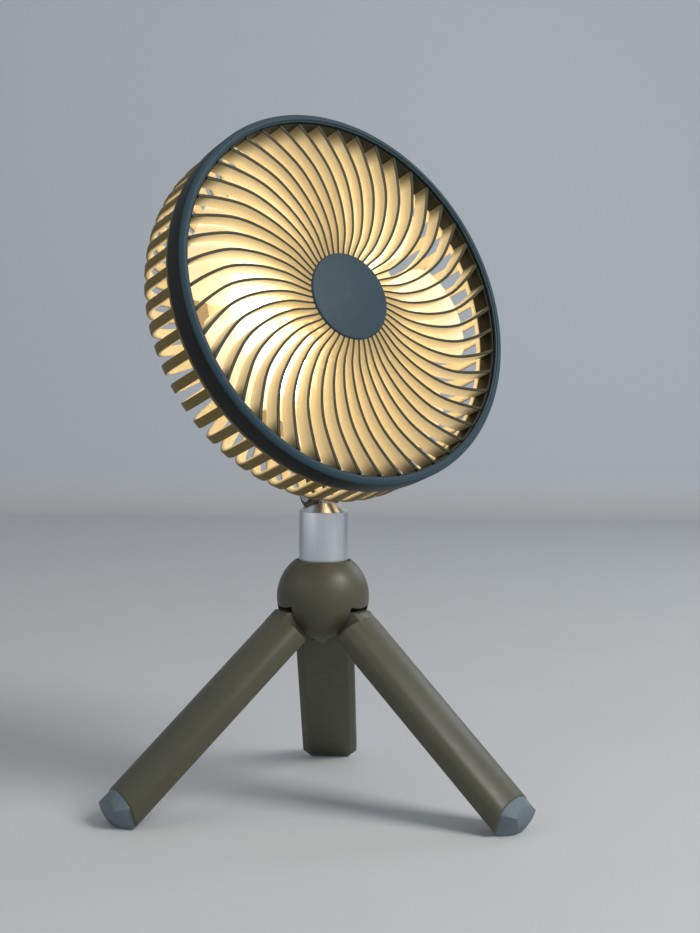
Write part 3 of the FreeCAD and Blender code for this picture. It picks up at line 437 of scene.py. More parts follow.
def lamp_lens():
    """Frosted lens of the light ring, brightest along its middle, where the lamp chips are."""
    paint = Paint("frosted_light_lens")
    spot, _, radius = paint.in_head()
    middle = (head().light_inner + head().light_outer) / 2
    offset = (radius - middle).math("ABSOLUTE")
    band = offset.fall(1.0 * MM, 9.0 * MM)
    frost = paint.noise(spot, 900.0, 3.0)
    glow = paint.mixed(band, shade(finishes().lamp, 0.86), (1.0, 0.93, 0.78))
    return paint.set(
        Base_Color=paint.mixed(frost, (0.80, 0.77, 0.70), (0.90, 0.87, 0.80)), Roughness=0.55 + 0.1 * frost,
        Normal=paint.bumped(frost, GRAIN), Emission_Color=glow, Emission_Strength=finishes().lamp_strength)


def milky_blade():
    """Milky plastic that lets the lamp show through, with painted lamp light as a glow that is strongest
    where it passes over the lamp.
    """
    paint = Paint("milky_blade_plastic")
    size, cream = head(), finishes().painted_lamp_light
    spot, _, radius = paint.in_head()
    cloud = paint.noise(spot, 50.0, 2.0)
    frost = paint.noise(spot, 700.0, 3.0)
    # Painted lamp light: the glow is faint over the hub, strongest over the lamp and dimmer beyond it
    over = radius.rise(size.impeller_hub - 1.0 * MM, size.light_inner + 3.0 * MM)
    beyond = radius.rise(size.light_outer - 2.0 * MM, size.light_outer + 17.0 * MM)
    glow = paint.mixed(over, shade(cream, 0.25), shade(cream, 0.80))
    glow = paint.mixed(beyond, glow, shade(cream, 0.45))
    return paint.set(
        Base_Color=paint.mixed(cloud, (0.80, 0.76, 0.66), (0.88, 0.84, 0.74)),
        Roughness=0.34 + 0.12 * frost, Normal=paint.bumped(frost, FROST),
        Alpha=0.90 - 0.25 * over, Emission_Color=glow, Emission_Strength=finishes().painted_blade_light)


def brushed(name, base, streak=(1.0, 1.0, 0.02), roughness=0.30, scale=900.0):
    """Drawn metal with fine streaks along its length and a few handling marks."""
    paint = Paint(name)
    spot = paint.place()
    drawn = paint.place(scale=tuple(1.0 / part for part in streak))
    lines = paint.noise(drawn, scale, 4.0, 0.6)
    marks = paint.noise(spot, 70.0, 4.0, 0.6).rise(0.52, 0.74)
    tone = paint.mixed(lines, shade(base, 0.88), shade(base, 1.10))
    return paint.set(
        Base_Color=tone, Metallic=1.0, Roughness=roughness + 0.10 * lines + 0.08 * marks,
        Normal=paint.bumped(lines, 0.000008))


def soft_rubber():
    """Matte foot rubber with a fine pebble and dust near the table."""
    paint = Paint("foot_rubber")
    base = finishes().rubber
    spot = paint.place()
    height = paint.axes(spot)[2]
    pebble = paint.add("ShaderNodeTexVoronoi", {"feature": "SMOOTH_F1"}, {"Vector": spot, "Scale": 1300.0})
    dust = paint.noise(spot, 110.0, 4.0) * height.fall(0.5 * MM, 9.0 * MM)
    tone = paint.mixed(paint.noise(spot, 60.0, 3.0), shade(base, 0.88), shade(base, 1.12))
    return paint.set(
        Base_Color=paint.mixed(dust * 0.5, tone, (0.26, 0.27, 0.27)), Roughness=0.62 + 0.2 * dust,
        Normal=paint.bumped(pebble, 0.00005))


def lacquered_board():
    """Green circuit board with copper tracks under its lacquer."""
    paint = Paint("circuit_board")
    spot = paint.head_place()
    x, y, z = paint.axes(spot)
    rows = (x * 900.0).math("SINE") * (z * 700.0).math("SINE")
    tracks = rows.rise(0.55, 0.62)
    return paint.set(
        Base_Color=paint.mixed(tracks, (0.02, 0.13, 0.06), (0.05, 0.22, 0.10)),
        Roughness=0.30 + 0.08 * paint.noise(spot, 300.0), Normal=paint.bumped(tracks, 0.00003))


def wound_copper():
    """Enamelled wire, its turns lying across the motor's axis."""
    paint = Paint("wound_copper")
    depth = paint.in_head()[1]
    turns = (depth * 12000.0).math("SINE")
    return paint.set(
        Base_Color=paint.mixed(turns.rise(-1.0, 1.0), (0.36, 0.12, 0.04), (0.76, 0.36, 0.16)), Metallic=1.0,
        Roughness=0.32 + 0.05 * turns, Normal=paint.bumped(turns, 0.00006))


def finish_set():
    """Every finish of the fan by its slot's name."""
    colours = finishes()
    return {
        "rim_plastic": rim_plastic(),
        "cap_plastic": moulded("slate_cap_plastic", colours.slate, 0.50),
        "slat_plastic": slat_plastic(),
        "rib_plastic": rib_plastic(),
        "khaki_plastic": moulded("khaki_plastic", colours.khaki, 0.40, gloss=0.35),
        "white_plastic": moulded("reflector_plastic", (0.66, 0.55, 0.38), 0.5),
        "diffuser": lamp_lens(),
        "milky_plastic": milky_blade(),
        "button_plastic": moulded("button_plastic", (0.05, 0.055, 0.05), 0.5),
        "aluminium": brushed("drawn_aluminium", colours.aluminium),
        "steel": brushed("turned_steel", colours.steel, (1.0, 1.0, 1.0), 0.28, 1500.0),
        "ferrite": moulded("magnet_ferrite", (0.08, 0.08, 0.085), 0.6),
        "copper": wound_copper(),
        "board": lacquered_board(),
        "cell_foil": brushed("cell_foil", (0.72, 0.73, 0.74), (1.0, 1.0, 1.0), 0.4, 400.0),
        "nylon": moulded("nylon", (0.74, 0.73, 0.68), 0.42),
        "foot_rubber": soft_rubber()}


def finish(slot):
    """The finish of that slot, made the first time that it is asked for."""
    made = bpy.context.scene.get("fan_finish_names")
    if made is None:
        made = {name: material.name for name, material in finish_set().items()}
        bpy.context.scene["fan_finish_names"] = made
    return bpy.data.materials[made[slot]]


# Modelling by hand, through Blender's own operators

def start_clean():
    if bpy.context.object is not None and bpy.context.object.mode != "OBJECT":
        bpy.ops.object.mode_set(mode="OBJECT")
    bpy.ops.object.select_all(action="DESELECT")


def pick(*pieces):
    start_clean()
    for piece in pieces:
        piece.select_set(True)
    bpy.context.view_layer.objects.active = pieces[0]


def drawn_line(name, points):
    """A chain of edges through points, left in edit mode."""
    start_clean()
    bpy.ops.mesh.primitive_plane_add(size=MM, location=points[0])
    piece = bpy.context.object
    piece.name = name
    bpy.ops.object.mode_set(mode="EDIT")
    bpy.ops.mesh.select_all(action="SELECT")
    bpy.ops.mesh.merge(type="CENTER")
    for before, after in zip(points, points[1:]):
        step = [b - a for a, b in zip(before, after)]
        bpy.ops.mesh.extrude_vertices_move(TRANSFORM_OT_translate={"value": step})
    bpy.ops.mesh.select_all(action="SELECT")
    return piece


def settled(piece, place=None):
    """Puts a piece in its place and leaves its object at the origin."""
    pick(piece)
    if place is not None:
        piece.matrix_world = place @ piece.matrix_world
    bpy.ops.object.transform_apply(location=True, rotation=True, scale=True)
    return piece


def opened(piece):
    """Takes a piece into edit mode with all of it selected."""
    pick(piece)
    bpy.ops.object.mode_set(mode="EDIT")
    bpy.ops.mesh.select_all(action="SELECT")


def cleaned(piece):
    opened(piece)
    bpy.ops.mesh.remove_doubles(threshold=2e-6)
    bpy.ops.mesh.normals_make_consistent(inside=False)
    bpy.ops.object.mode_set(mode="OBJECT")
    return piece


def turned(name, outline, steps=160):
    """Spins a closed outline of (radius, height) in millimetres round +Z."""
    points = [(radius * MM, 0.0, height * MM) for radius, height in outline]
    piece = drawn_line(name, points)
    bpy.ops.mesh.spin(steps=steps, angle=2 * math.pi, center=(0, 0, 0), axis=(0, 0, 1))
    bpy.ops.object.mode_set(mode="OBJECT")
    return cleaned(settled(piece))


def ring(name, inner, outer, low, high, steps=160):
    """A plain ring between two radii and two heights, in millimetres."""
    return turned(name, [(inner, low), (outer, low), (outer, high), (inner, high), (inner, low)], steps)


def disc(name, radius, low, high, steps=160):
    return turned(name, [(0, low), (radius, low), (radius, high), (0, high)], steps)


def sliced(piece, spot, normal, drop_ahead=True):
    """Cuts a piece at a plane, drops what lies ahead of it or behind it, and closes the cut."""
    opened(piece)
    bpy.ops.mesh.bisect(
        plane_co=spot, plane_no=normal, use_fill=True, clear_outer=drop_ahead, clear_inner=not drop_ahead)
    bpy.ops.object.mode_set(mode="OBJECT")
    return piece


def modified(piece, kind, **settings):
    """Puts a modifier with those settings on a piece and applies it."""
    pick(piece)
    bpy.ops.object.modifier_add(type=kind)
    modifier = piece.modifiers[-1]
    for key, value in settings.items():
        setattr(modifier, key, value)
    bpy.ops.object.modifier_apply(modifier=modifier.name)
    return piece


def rounded(piece, width, segments=2, angle=30.0):
    return modified(
        piece, "BEVEL", width=width * MM, segments=segments, limit_method="ANGLE",
        angle_limit=math.radians(angle))


def combined(piece, cutter, operation="DIFFERENCE"):
    modified(piece, "BOOLEAN", operation=operation, solver="EXACT", object=cutter)
    pick(cutter)
    bpy.ops.object.delete()
    return piece


def copied(piece, place):
    """A copy with its own mesh, at a new place."""
    pick(piece)
    bpy.ops.object.duplicate()
    return settled(bpy.context.object, place)


def merged(pieces):
    pick(*pieces)
    bpy.ops.object.join()
    return bpy.context.object


def ringed(piece, count, axis, phase=0.0):
    """Copies of a piece evenly round an axis through the origin, merged into one."""
    copies = [copied(piece, Matrix.Rotation(phase + 2 * math.pi * step / count, 4, axis))
              for step in range(1, count)]
    if phase:
        settled(piece, Matrix.Rotation(phase, 4, axis))
    return merged([piece] + copies)


def finished(piece, body, slot, replaces=(), place=None, smooth=32.0):
    """Puts a piece in its place, dresses it and lets it ride on its body."""
    settled(piece, place)
    bpy.ops.object.shade_smooth_by_angle(angle=math.radians(smooth))
    piece.data.materials.clear()
    piece.data.materials.append(finish(slot))
    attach(piece, body)
    if replaces:
        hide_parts(*replaces)
    return piece


def slab(name, x, y, z):
    """A block between (low, high) pairs in millimetres, to be shaped further."""
    start_clean()
    middle = [(low + high) / 2 * MM for low, high in (x, y, z)]
    bpy.ops.mesh.primitive_cube_add(size=1.0, location=middle)
    piece = bpy.context.object
    piece.name = name
    piece.scale = [(high - low) * MM for low, high in (x, y, z)]
    return settled(piece)


# Front of the head

class FAN_OT_front_rim(bpy.types.Operator):
    """Front rim with its bevelled edge and inner step"""
    bl_idname = "fan.front_rim"
    bl_label = "Front rim"

    def execute(self, context):
        size = head()
        outer, wall = size.rim_radius / MM, (size.rim_radius - size.rim_wall) / MM
        lip, step = size.lip_radius / MM, size.lip_step / MM
        bevel, back, behind = size.rim_bevel / MM, size.rim_depth / MM, size.lip_depth / MM
        rim = turned("rim_shell", [
            (lip, step), (lip + step, step), (lip + step, 0), (outer - bevel, 0), (outer, bevel),
            (outer, back), (wall, back), (wall, behind), (lip, behind), (lip, step)], 192)
        rounded(rim, 0.22, 2, 25.0)
        finished(rim, "head", "rim_plastic", ["front_rim"], TURNED_TO_HEAD)
        return {"FINISHED"}


# Sweep of a slat in degrees, at even steps of radius from the hub ring to the outer band
SLAT_SWEEPS = (2.0, -2.9, -2.5, -0.1, 3.3, 8.1, 12.8)


def smooth_path(stations, between):
    """Stations on a smooth curve through the given ones."""
    padded = [stations[0]] + stations + [stations[-1]]
    path = []
    for before, start, end, after in zip(padded, padded[1:], padded[2:], padded[3:]):
        for step in range(between):
            t = step / between
            path.append(tuple(
                b + 0.5 * t * ((c - a) + t * ((2 * a - 5 * b + 4 * c - d) + t * (3 * (b - c) + d - a)))
                for a, b, c, d in zip(before, start, end, after)))
    return path + [stations[-1]]


def one_slat():
    """A thin deep strip that follows the spiral, swept station by station."""
    size = head()
    first, last = size.grille_hub - 0.4 * MM, size.grille_band + 0.4 * MM
    stride = (last - first) / (len(SLAT_SWEEPS) - 1)
    path = smooth_path([(first + stride * step, sweep) for step, sweep in enumerate(SLAT_SWEEPS)], 3)
    middle = size.slat_front + size.slat_depth / 2
    spots = []
    for radius, sweep in path:
        angle = math.radians(sweep)
        spots.append(Vector((radius * math.cos(angle), middle, radius * math.sin(angle))))
    headings = [math.atan2(b.z - a.z, b.x - a.x) for a, b in zip(spots, spots[1:])]
    turns = [headings[0]] + [(a + b) / 2 for a, b in zip(headings, headings[1:])] + [headings[-1]]
    widths = [size.slat_root + (radius - first) / (last - first) * (size.slat_tip - size.slat_root)
              for radius, sweep in path]
    start_clean()
    bpy.ops.mesh.primitive_plane_add(size=1.0, location=spots[0], rotation=(0, math.pi / 2 - turns[0], 0))
    slat = bpy.context.object
    slat.scale = (widths[0], size.slat_depth, 1.0)
    settled(slat)
    bpy.ops.object.mode_set(mode="EDIT")
    bpy.ops.mesh.select_all(action="SELECT")
    for index in range(1, len(spots)):
        step = spots[index] - spots[index - 1]
        bpy.ops.mesh.extrude_region_move(TRANSFORM_OT_translate={"value": step})
        bpy.ops.transform.rotate(
            value=turns[index] - turns[index - 1], orient_axis="Y", center_override=spots[index])
        grow = widths[index] / widths[index - 1]
        bpy.ops.transform.resize(value=(grow, 1.0, grow), center_override=spots[index])
    bpy.ops.object.mode_set(mode="OBJECT")
    return rounded(cleaned(slat), 0.22, 2, 40.0)


class FAN_OT_spiral_grille(bpy.types.Operator):
    """Front grille: deep spiral slats between a hub ring and an outer band"""
    bl_idname = "fan.spiral_grille"
    bl_label = "Spiral grille"

    def execute(self, context):
        size = head()
        front, back = size.slat_front / MM, (size.slat_front + size.slat_depth) / MM
        slats = ringed(one_slat(), size.slat_count, "Y")
        inner, lip = size.grille_band / MM, size.lip_depth / MM
        band = ring("grille_band", inner, inner + BAND_WALL, lip + BAND_GAP, size.rim_depth / MM)
        seat = size.cap_seat / MM + SEAT_GAP
        hub = ring("grille_hub", seat, size.grille_hub / MM, front, back)
        web = disc("grille_web", seat + WEB_LAP, WEB_FRONT, WEB_BACK)
        rings = [settled(piece, TO_DEPTH) for piece in (rounded(band, 0.2), rounded(hub, 0.2), web)]
        grille = merged([slats] + rings)
        grille.name = "spiral_slats"
        finished(grille, "head", "slat_plastic", ["front_grille"], HEAD_PLACE)
        return {"FINISHED"}


class FAN_OT_centre_cap(bpy.types.Operator):
    """Smooth centre cap on the grille's hub"""
    bl_idname = "fan.centre_cap"
    bl_label = "Centre cap"

    def execute(self, context):
        size = head()
        edge, seat, behind = size.cap_radius / MM, size.cap_seat / MM, size.slat_front / MM
        front = size.cap_front / MM
        cap = turned("cap_disc", [
            (0, front), (edge - 0.5, front), (edge, front + 0.5), (edge, behind),
            (seat, behind), (seat, CAP_BACK), (0, CAP_BACK)], 128)
        finished(rounded(cap, 0.12, 2, 35.0), "head", "cap_plastic", ["front_cap"], TURNED_TO_HEAD)
        return {"FINISHED"}


# Back of the head

def one_rib():
    """A flat rib that runs back, round the corner and in to the ring."""
    size = head()
    middle = size.cage_radius - size.rib_thickness / 2
    corner = Vector((size.cage_radius - size.cage_corner, size.cage_depth - size.cage_corner, 0.0))
    start_clean()
    bpy.ops.mesh.primitive_plane_add(
        size=1.0, location=(middle, size.rib_start, 0.0), rotation=(-math.pi / 2, 0, 0))
    rib = bpy.context.object
    rib.scale = (size.rib_thickness, size.rib_width, 1.0)
    settled(rib)
    bpy.ops.object.mode_set(mode="EDIT")
    bpy.ops.mesh.select_all(action="SELECT")
    bpy.ops.mesh.extrude_region_move(TRANSFORM_OT_translate={"value": (0.0, corner.y - size.rib_start, 0.0)})
    bpy.ops.mesh.spin(steps=8, angle=math.pi / 2, center=corner, axis=(0, 0, -1))
    bpy.ops.mesh.extrude_region_move(TRANSFORM_OT_translate={"value": (size.rib_end - corner.x, 0.0, 0.0)})
    bpy.ops.object.mode_set(mode="OBJECT")
    return rounded(cleaned(rib), 0.45, 3, 40.0)


class FAN_OT_rear_cage(bpy.types.Operator):
    """Rear cage: round-cornered ribs on a front band and a back ring"""
    bl_idname = "fan.rear_cage"
    bl_label = "Rear cage"

    def execute(self, context):
        size = head()
        ribs = ringed(one_rib(), size.rib_count, "Y", math.pi / size.rib_count)
        start = size.rim_depth / MM
        band = ring("cage_band", CAGE_BAND_IN, CAGE_BAND_OUT, start, start + CAGE_BAND_LENGTH, 192)
        back = ring("cage_ring", CAGE_RING_IN, CAGE_RING_OUT, *CAGE_RING_DEPTHS)
        pad = slab("cage_pad", PAD_SIDES, CAGE_RING_DEPTHS, PAD_HEIGHTS)
        rings = [settled(rounded(piece, 0.35), TO_DEPTH) for piece in (band, back)]
        cage = merged([ribs] + rings + [rounded(pad, 0.5)])
        cage.name = "cage_ribs"
        finished(cage, "head", "rib_plastic", ["rear_cage"], HEAD_PLACE)
        return {"FINISHED"}


class FAN_OT_light_ring(bpy.types.Operator):
    """Frosted lens of the light ring, lit"""
    bl_idname = "fan.light_ring"
    bl_label = "Light ring"

    def execute(self, context):
        size = head()
        inner, outer = size.light_inner / MM, size.light_outer / MM
        front, back = size.light_front / MM, size.light_back / MM
        room_in, room_out, room_front = inner + LENS_WALL, outer - LENS_WALL, front + LENS_WALL
        lens = turned("light_lens", [
            (inner, back), (inner, front), (outer, front), (outer, back), (room_out, back),
            (room_out, room_front), (room_in, room_front), (room_in, back), (inner, back)])
        finished(rounded(lens, 0.5, 3), "head", "diffuser", ["light_diffuser"], TURNED_TO_HEAD)
        return {"FINISHED"}


# A blade's (radius, chord, pitch in degrees), in millimetres
BLADE_STATIONS = [
    (21.0, 19.0, 28.5), (34.0, 26.0, 24.0), (45.0, 35.0, 21.0), (56.0, 45.0, 18.0), (68.0, 51.0, 15.5),
    (73.5, 51.0, 14.5), (76.0, 44.0, 14.0)]
BLADE_STRIPS = 14
# Rise of a blade's middle, as a share of its chord
BLADE_CAMBER = 0.07


def one_blade():
    """A wide cambered blade, its rows of points wrapped round the axis at each radius."""
    size = head()
    rows = smooth_path(BLADE_STATIONS, 3)
    start_clean()
    bpy.ops.mesh.primitive_grid_add(x_subdivisions=len(rows) - 1, y_subdivisions=BLADE_STRIPS, size=1.0)
    blade = bpy.context.object
    for vertex in blade.data.vertices:
        row = round((vertex.co.x + 0.5) * (len(rows) - 1))
        radius, chord, pitch = rows[row]
        share = vertex.co.y
        lean = math.radians(pitch)
        camber = chord * BLADE_CAMBER * (1.0 - (2.0 * share) ** 2)
        along = share * chord
        angle = (along * math.cos(lean) + camber * math.sin(lean)) / radius
        depth = size.blade_middle / MM + along * math.sin(lean) - camber * math.cos(lean)
        vertex.co = (radius * MM * math.cos(angle), depth * MM, radius * MM * math.sin(angle))
    modified(blade, "SOLIDIFY", thickness=size.blade_thickness, offset=0.0)
    return rounded(cleaned(blade), 0.5, 2, 50.0)


class FAN_OT_impeller(bpy.types.Operator):
    """Milky impeller with wide blades in front of the light ring"""
    bl_idname = "fan.impeller"
    bl_label = "Impeller"

    def execute(self, context):
        size = head()
        edge, face = size.impeller_hub / MM, HUB_FRONT + HUB_FACE
        inner = edge - HUB_SKIRT
        hub = turned("impeller_hub", [
            (HUB_BORE, HUB_FRONT), (edge - 1.2, HUB_FRONT), (edge - 0.3, HUB_FRONT + 0.4),
            (edge, HUB_FRONT + 1.4), (edge, HUB_BACK), (inner, HUB_BACK), (inner, face), (HUB_BORE, face),
            (HUB_BORE, HUB_FRONT)], 128)
        settled(hub, TO_DEPTH)
        impeller = merged([ringed(one_blade(), size.blade_count, "Y"), hub])
        impeller.name = "impeller_blades"
        finished(impeller, "rotor", "milky_plastic", ["impeller"], HEAD_PLACE)
        return {"FINISHED"}


# Small fasteners and marks on the back of the head, in millimetres: a spot is (across, below the axis),
# a screw's sizes are its shank, its head and the depths of its tip, seat and top

COVER_SCREW_SPOTS = [(across, below) for across in (-37.1, 37.1) for below in (-37.1, 37.1)]
BRACKET_SCREW_SPOTS = [(across, below) for across in (-12.8, 12.8) for below in (61.5, 68.0)]
COVER_SCREW = (1.45, 2.6, 36.0, 49.25, 50.75)
BRACKET_SCREW = (1.25, 2.4, 42.3, 48.2, 49.7)
RECESS_DEPTH = 0.9
BUTTON_ABOVE, BUTTON_ASIDE, BUTTON_FACE = 8.0, 13.0, 52.0
MARK_SINK, MARK_RISE = -0.1, 0.12


def crossed_screw(sizes):
    """A pan-head screw with a cross recess."""
    shank, edge, tip, seat, top = sizes
    screw = turned("back_screw", [
        (0, tip), (shank, tip), (shank, seat), (edge, seat), (edge, top - 0.6), (edge - 0.5, top),
        (0, top)], 48)
    arm, slot, deep = 0.55 * edge, 0.13 * edge, (top - RECESS_DEPTH, top + 1.0)
    combined(screw, slab("recess", (-arm, arm), (-slot, slot), deep))
    return combined(screw, slab("recess", (-slot, slot), (-arm, arm), deep))


class FAN_OT_back_screws(bpy.types.Operator):
    """Cross-recessed screws of the rear cover and of the neck bracket"""
    bl_idname = "fan.back_screws"
    bl_label = "Back screws"

    def execute(self, context):
        for node, spots, sizes in (("cover_screws", COVER_SCREW_SPOTS, COVER_SCREW),
                                   ("bracket_screws", BRACKET_SCREW_SPOTS, BRACKET_SCREW)):
            screw = crossed_screw(sizes)
            places = [Matrix.Translation((across * MM, below * MM, 0.0)) for across, below in spots]
            copies = [copied(screw, place) for place in places]
            pick(screw)
            bpy.ops.object.delete()
            screws = merged(copies)
            screws.name = "crossed_" + node
            finished(screws, "head", "steel", [node], TURNED_TO_HEAD)
        return {"FINISHED"}


def power_mark():
    """An open ring with a bar in its gap."""
    mark = ring("power_mark", 1.9, 2.4, MARK_SINK, MARK_RISE, 48)
    combined(mark, slab("gap", (-0.8, 0.8), (-3.0, -1.0), (-1.0, 1.0)))
    return merged([mark, slab("bar", (-0.25, 0.25), (-2.7, -0.9), (MARK_SINK, MARK_RISE))])


def light_mark():
    """A disc with eight rays."""
    mark = disc("light_mark", 1.1, MARK_SINK, MARK_RISE, 48)
    rays = ringed(slab("ray", (1.6, 2.4), (-0.2, 0.2), (MARK_SINK, MARK_RISE)), 8, "Z")
    return merged([mark, rays])


class FAN_OT_button_marks(bpy.types.Operator):
    """Raised marks on the two push buttons"""
    bl_idname = "fan.button_marks"
    bl_label = "Button marks"

    def execute(self, context):
        for mark, aside, body in ((power_mark(), -BUTTON_ASIDE, "fan_switch"),
                                  (light_mark(), BUTTON_ASIDE, "light_switch")):
            spot = Matrix.Translation((aside * MM, -BUTTON_ABOVE * MM, BUTTON_FACE * MM))
            mark.name = body.replace("_switch", "_button_mark")
            finished(mark, body, "nylon", place=TURNED_TO_HEAD @ spot)
        return {"FINISHED"}


# Stand

class FAN_OT_stem_tube(bpy.types.Operator):
    """Drawn aluminium stem between the hub ball and the neck"""
    bl_idname = "fan.stem_tube"
    bl_label = "Stem tube"

    def execute(self, context):
        low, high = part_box("stem_tube")
        outer = stand().stem_radius / MM
        inner = outer - stand().stem_wall / MM
        tube = ring("stem_sleeve", inner, outer, low.z / MM, high.z / MM, 128)
        finished(rounded(tube, 0.25, 3), "stem", "aluminium", ["stem_tube"])
        return {"FINISHED"}


def leg_place(name):
    """From a level leg along +X, its axis through the ball's centre, to its place on the stand."""
    axis = JOINTS["leg_" + name + "_fold"]["axis"]
    azimuth = math.atan2(-axis[0], axis[1])
    lift = Matrix.Translation((0.0, 0.0, stand().ball_height))
    return Matrix.Rotation(azimuth, 4, "Z") @ lift @ Matrix.Rotation(stand().leg_slope, 4, "Y")


def arc_points(centre, radius, start, end, steps):
    angles = [start + (end - start) * step / steps for step in range(steps + 1)]
    return [(centre[0] + radius * math.cos(angle), centre[1] + radius * math.sin(angle)) for angle in angles]


def leg_bar(name, start, end, inset=0.0):
    """The leg's section, crowned on top and keeled below, drawn out along the leg."""
    size = stand()
    half, crown = size.leg_width / 2 - inset, size.leg_crown - inset
    rise = size.leg_crown - size.leg_shoulder
    bend = (half * half + rise * rise) / (2 * rise)
    corner = half - size.leg_round
    lift = math.sqrt((bend - size.leg_round) ** 2 - corner ** 2)
    meet = math.atan2(lift, corner)
    base = crown - bend
    shoulder = arc_points((corner, base + lift), size.leg_round, 0.0, meet, 6)
    arch = shoulder + arc_points((0.0, base), bend, meet, math.pi - meet, 14)[1:-1]
    arch = [(start, y, z) for y, z in arch + [(-y, z) for y, z in reversed(shoulder)]]
    keel = size.leg_keel_half
    sides = [(-half, -size.leg_side), (-keel, inset - size.leg_keel), (keel, inset - size.leg_keel),
             (half, -size.leg_side)]
    bar = drawn_line(name, arch + [(start, y, z) for y, z in sides])
    bpy.ops.mesh.edge_face_add()
    bpy.ops.mesh.extrude_region_move(TRANSFORM_OT_translate={"value": (end - start, 0.0, 0.0)})
    bpy.ops.object.mode_set(mode="OBJECT")
    return cleaned(settled(bar))


def clearing_ball(place=None):
    """The hub ball and a little clearance, to cut the leg's upper end hollow."""
    start_clean()
    radius = stand().ball_radius + BALL_CLEARANCE * MM
    bpy.ops.mesh.primitive_uv_sphere_add(segments=96, ring_count=48, radius=radius)
    return settled(bpy.context.object, place)


def cut_at_seam(piece, keep_leg):
    """Cuts a level leg at the seam of its foot, which slants to meet the table under the leg."""
    size = stand()
    drop = size.leg_crown + size.leg_keel
    normal = Vector((drop, 0.0, size.seam_slant)).normalized()
    crown = (size.leg_end, 0.0, size.leg_crown)
    return cleaned(sliced(piece, crown, normal, keep_leg))


class FAN_OT_tripod_legs(bpy.types.Operator):
    """Three crowned legs, each with a tongue that is pinned in the hub ball"""
    bl_idname = "fan.tripod_legs"
    bl_label = "Tripod legs"

    def execute(self, context):
        size = stand()
        pivot = Vector(JOINTS["leg_left_fold"]["pos_m"])
        reach = math.hypot(pivot.x, pivot.y)
        drop = size.ball_height - pivot.z
        along = reach * math.cos(size.leg_slope) + drop * math.sin(size.leg_slope)
        height = reach * math.sin(size.leg_slope) - drop * math.cos(size.leg_slope)
        about = Matrix.Translation((along, 0.0, height))
        folded = about @ Matrix.Rotation(-LEG_FOLD, 4, "Y") @ about.inverted()
        for name in LEGS:
            bar = leg_bar("leg_bar_" + name, size.leg_start, size.leg_end + size.foot_length)
            cut_at_seam(bar, True)
            rounded(bar, 0.7, 3, 28.0)
            combined(bar, clearing_ball())
            combined(bar, clearing_ball(folded))
            tongue = slab(
                "tongue", (along / MM, size.leg_start / MM + TONGUE_LAP), (-TONGUE_HALF, TONGUE_HALF),
                (height / MM - EYE_RADIUS, size.leg_crown / MM - TONGUE_COVER))
            eye = disc("eye", EYE_RADIUS, -TONGUE_HALF, TONGUE_HALF, 48)
            settled(eye, about @ Matrix.Rotation(math.pi / 2, 4, "X"))
            # The tongue's upper front edge slopes down to the eye, as the slot in the ball needs
            slope_start = (along, 0.0, height + EYE_RADIUS * MM)
            tongue = cleaned(sliced(tongue, slope_start, (-0.62, 0.0, 0.78)))
            leg = merged([bar, rounded(tongue, 0.4, 2), rounded(eye, 0.4, 2)])
            leg.name = "crowned_leg_" + name
            finished(leg, "leg_" + name + "_body", "khaki_plastic", ["leg_" + name], leg_place(name), 30.0)
        return {"FINISHED"}


class FAN_OT_rubber_feet(bpy.types.Operator):
    """Rounded rubber feet that close the legs' lower ends"""
    bl_idname = "fan.rubber_feet"
    bl_label = "Rubber feet"

    def execute(self, context):
        size = stand()
        for name in LEGS:
            end = size.leg_end + size.foot_length
            pad = leg_bar("foot_pad_" + name, size.leg_end - FOOT_LAP * MM, end, size.foot_inset)
            nose = disc("nose", size.foot_nose / MM, -DRUM_REACH, DRUM_REACH, 96)
            lift = Matrix.Translation((size.leg_end, 0, NOSE_LIFT * MM))
            settled(nose, lift @ Matrix.Rotation(math.pi / 2, 4, "X"))
            combined(pad, nose, "INTERSECT")
            half = size.leg_width / 2 - size.foot_inset
            plan = disc("plan", half / MM, -DRUM_REACH, DRUM_REACH, 96)
            combined(pad, settled(plan, Matrix.Translation((end - half, 0, 0))), "INTERSECT")
            cut_at_seam(pad, False)
            rounded(pad, 1.4, 4, 30.0)
            sliced(settled(pad, leg_place(name)), (0, 0, 0), (0, 0, -1))
            pad.name = "rubber_foot_" + name
            finished(pad, "leg_" + name + "_body", "foot_rubber", ["foot_" + name])
        return {"FINISHED"}


# Finishes of the solids: most show as they are, and a few are replaced by a piece of the scene
SOLIDS_BY_SLOT = {
    "rim_plastic": ("front_rim",),
    "cap_plastic": ("front_cap", "rear_cover"),
    "slat_plastic": ("front_grille",),
    "rib_plastic": ("rear_cage",),
    "white_plastic": ("rear_housing",),
    "steel": ("cover_screws", "motor_bearings", "motor_stator", "motor_rotor", "motor_shaft",
        "impeller_nut", "charge_port", "bracket_screws", "tilt_pin", "tilt_nut", "stem_spindle",
        "spring_washer", "swivel_nut", "hub_screws", "leg_pins"),
    "aluminium": ("motor_base", "neck_knuckle", "stem_tube"),
    "copper": ("motor_windings",),
    "ferrite": ("magnet_ring",),
    "milky_plastic": ("impeller",),
    "board": ("led_board", "control_board"),
    "diffuser": ("led_chips", "light_diffuser"),
    "cell_foil": ("battery_cells",),
    "button_plastic": ("tact_switches", "fan_button", "light_button", "hub_plug"),
    "nylon": ("status_lens", "tilt_washers", "swivel_washer", "swivel_bush"),
    "khaki_plastic": ("neck_bracket", "hub_upper", "hub_lower", "screw_plugs")}


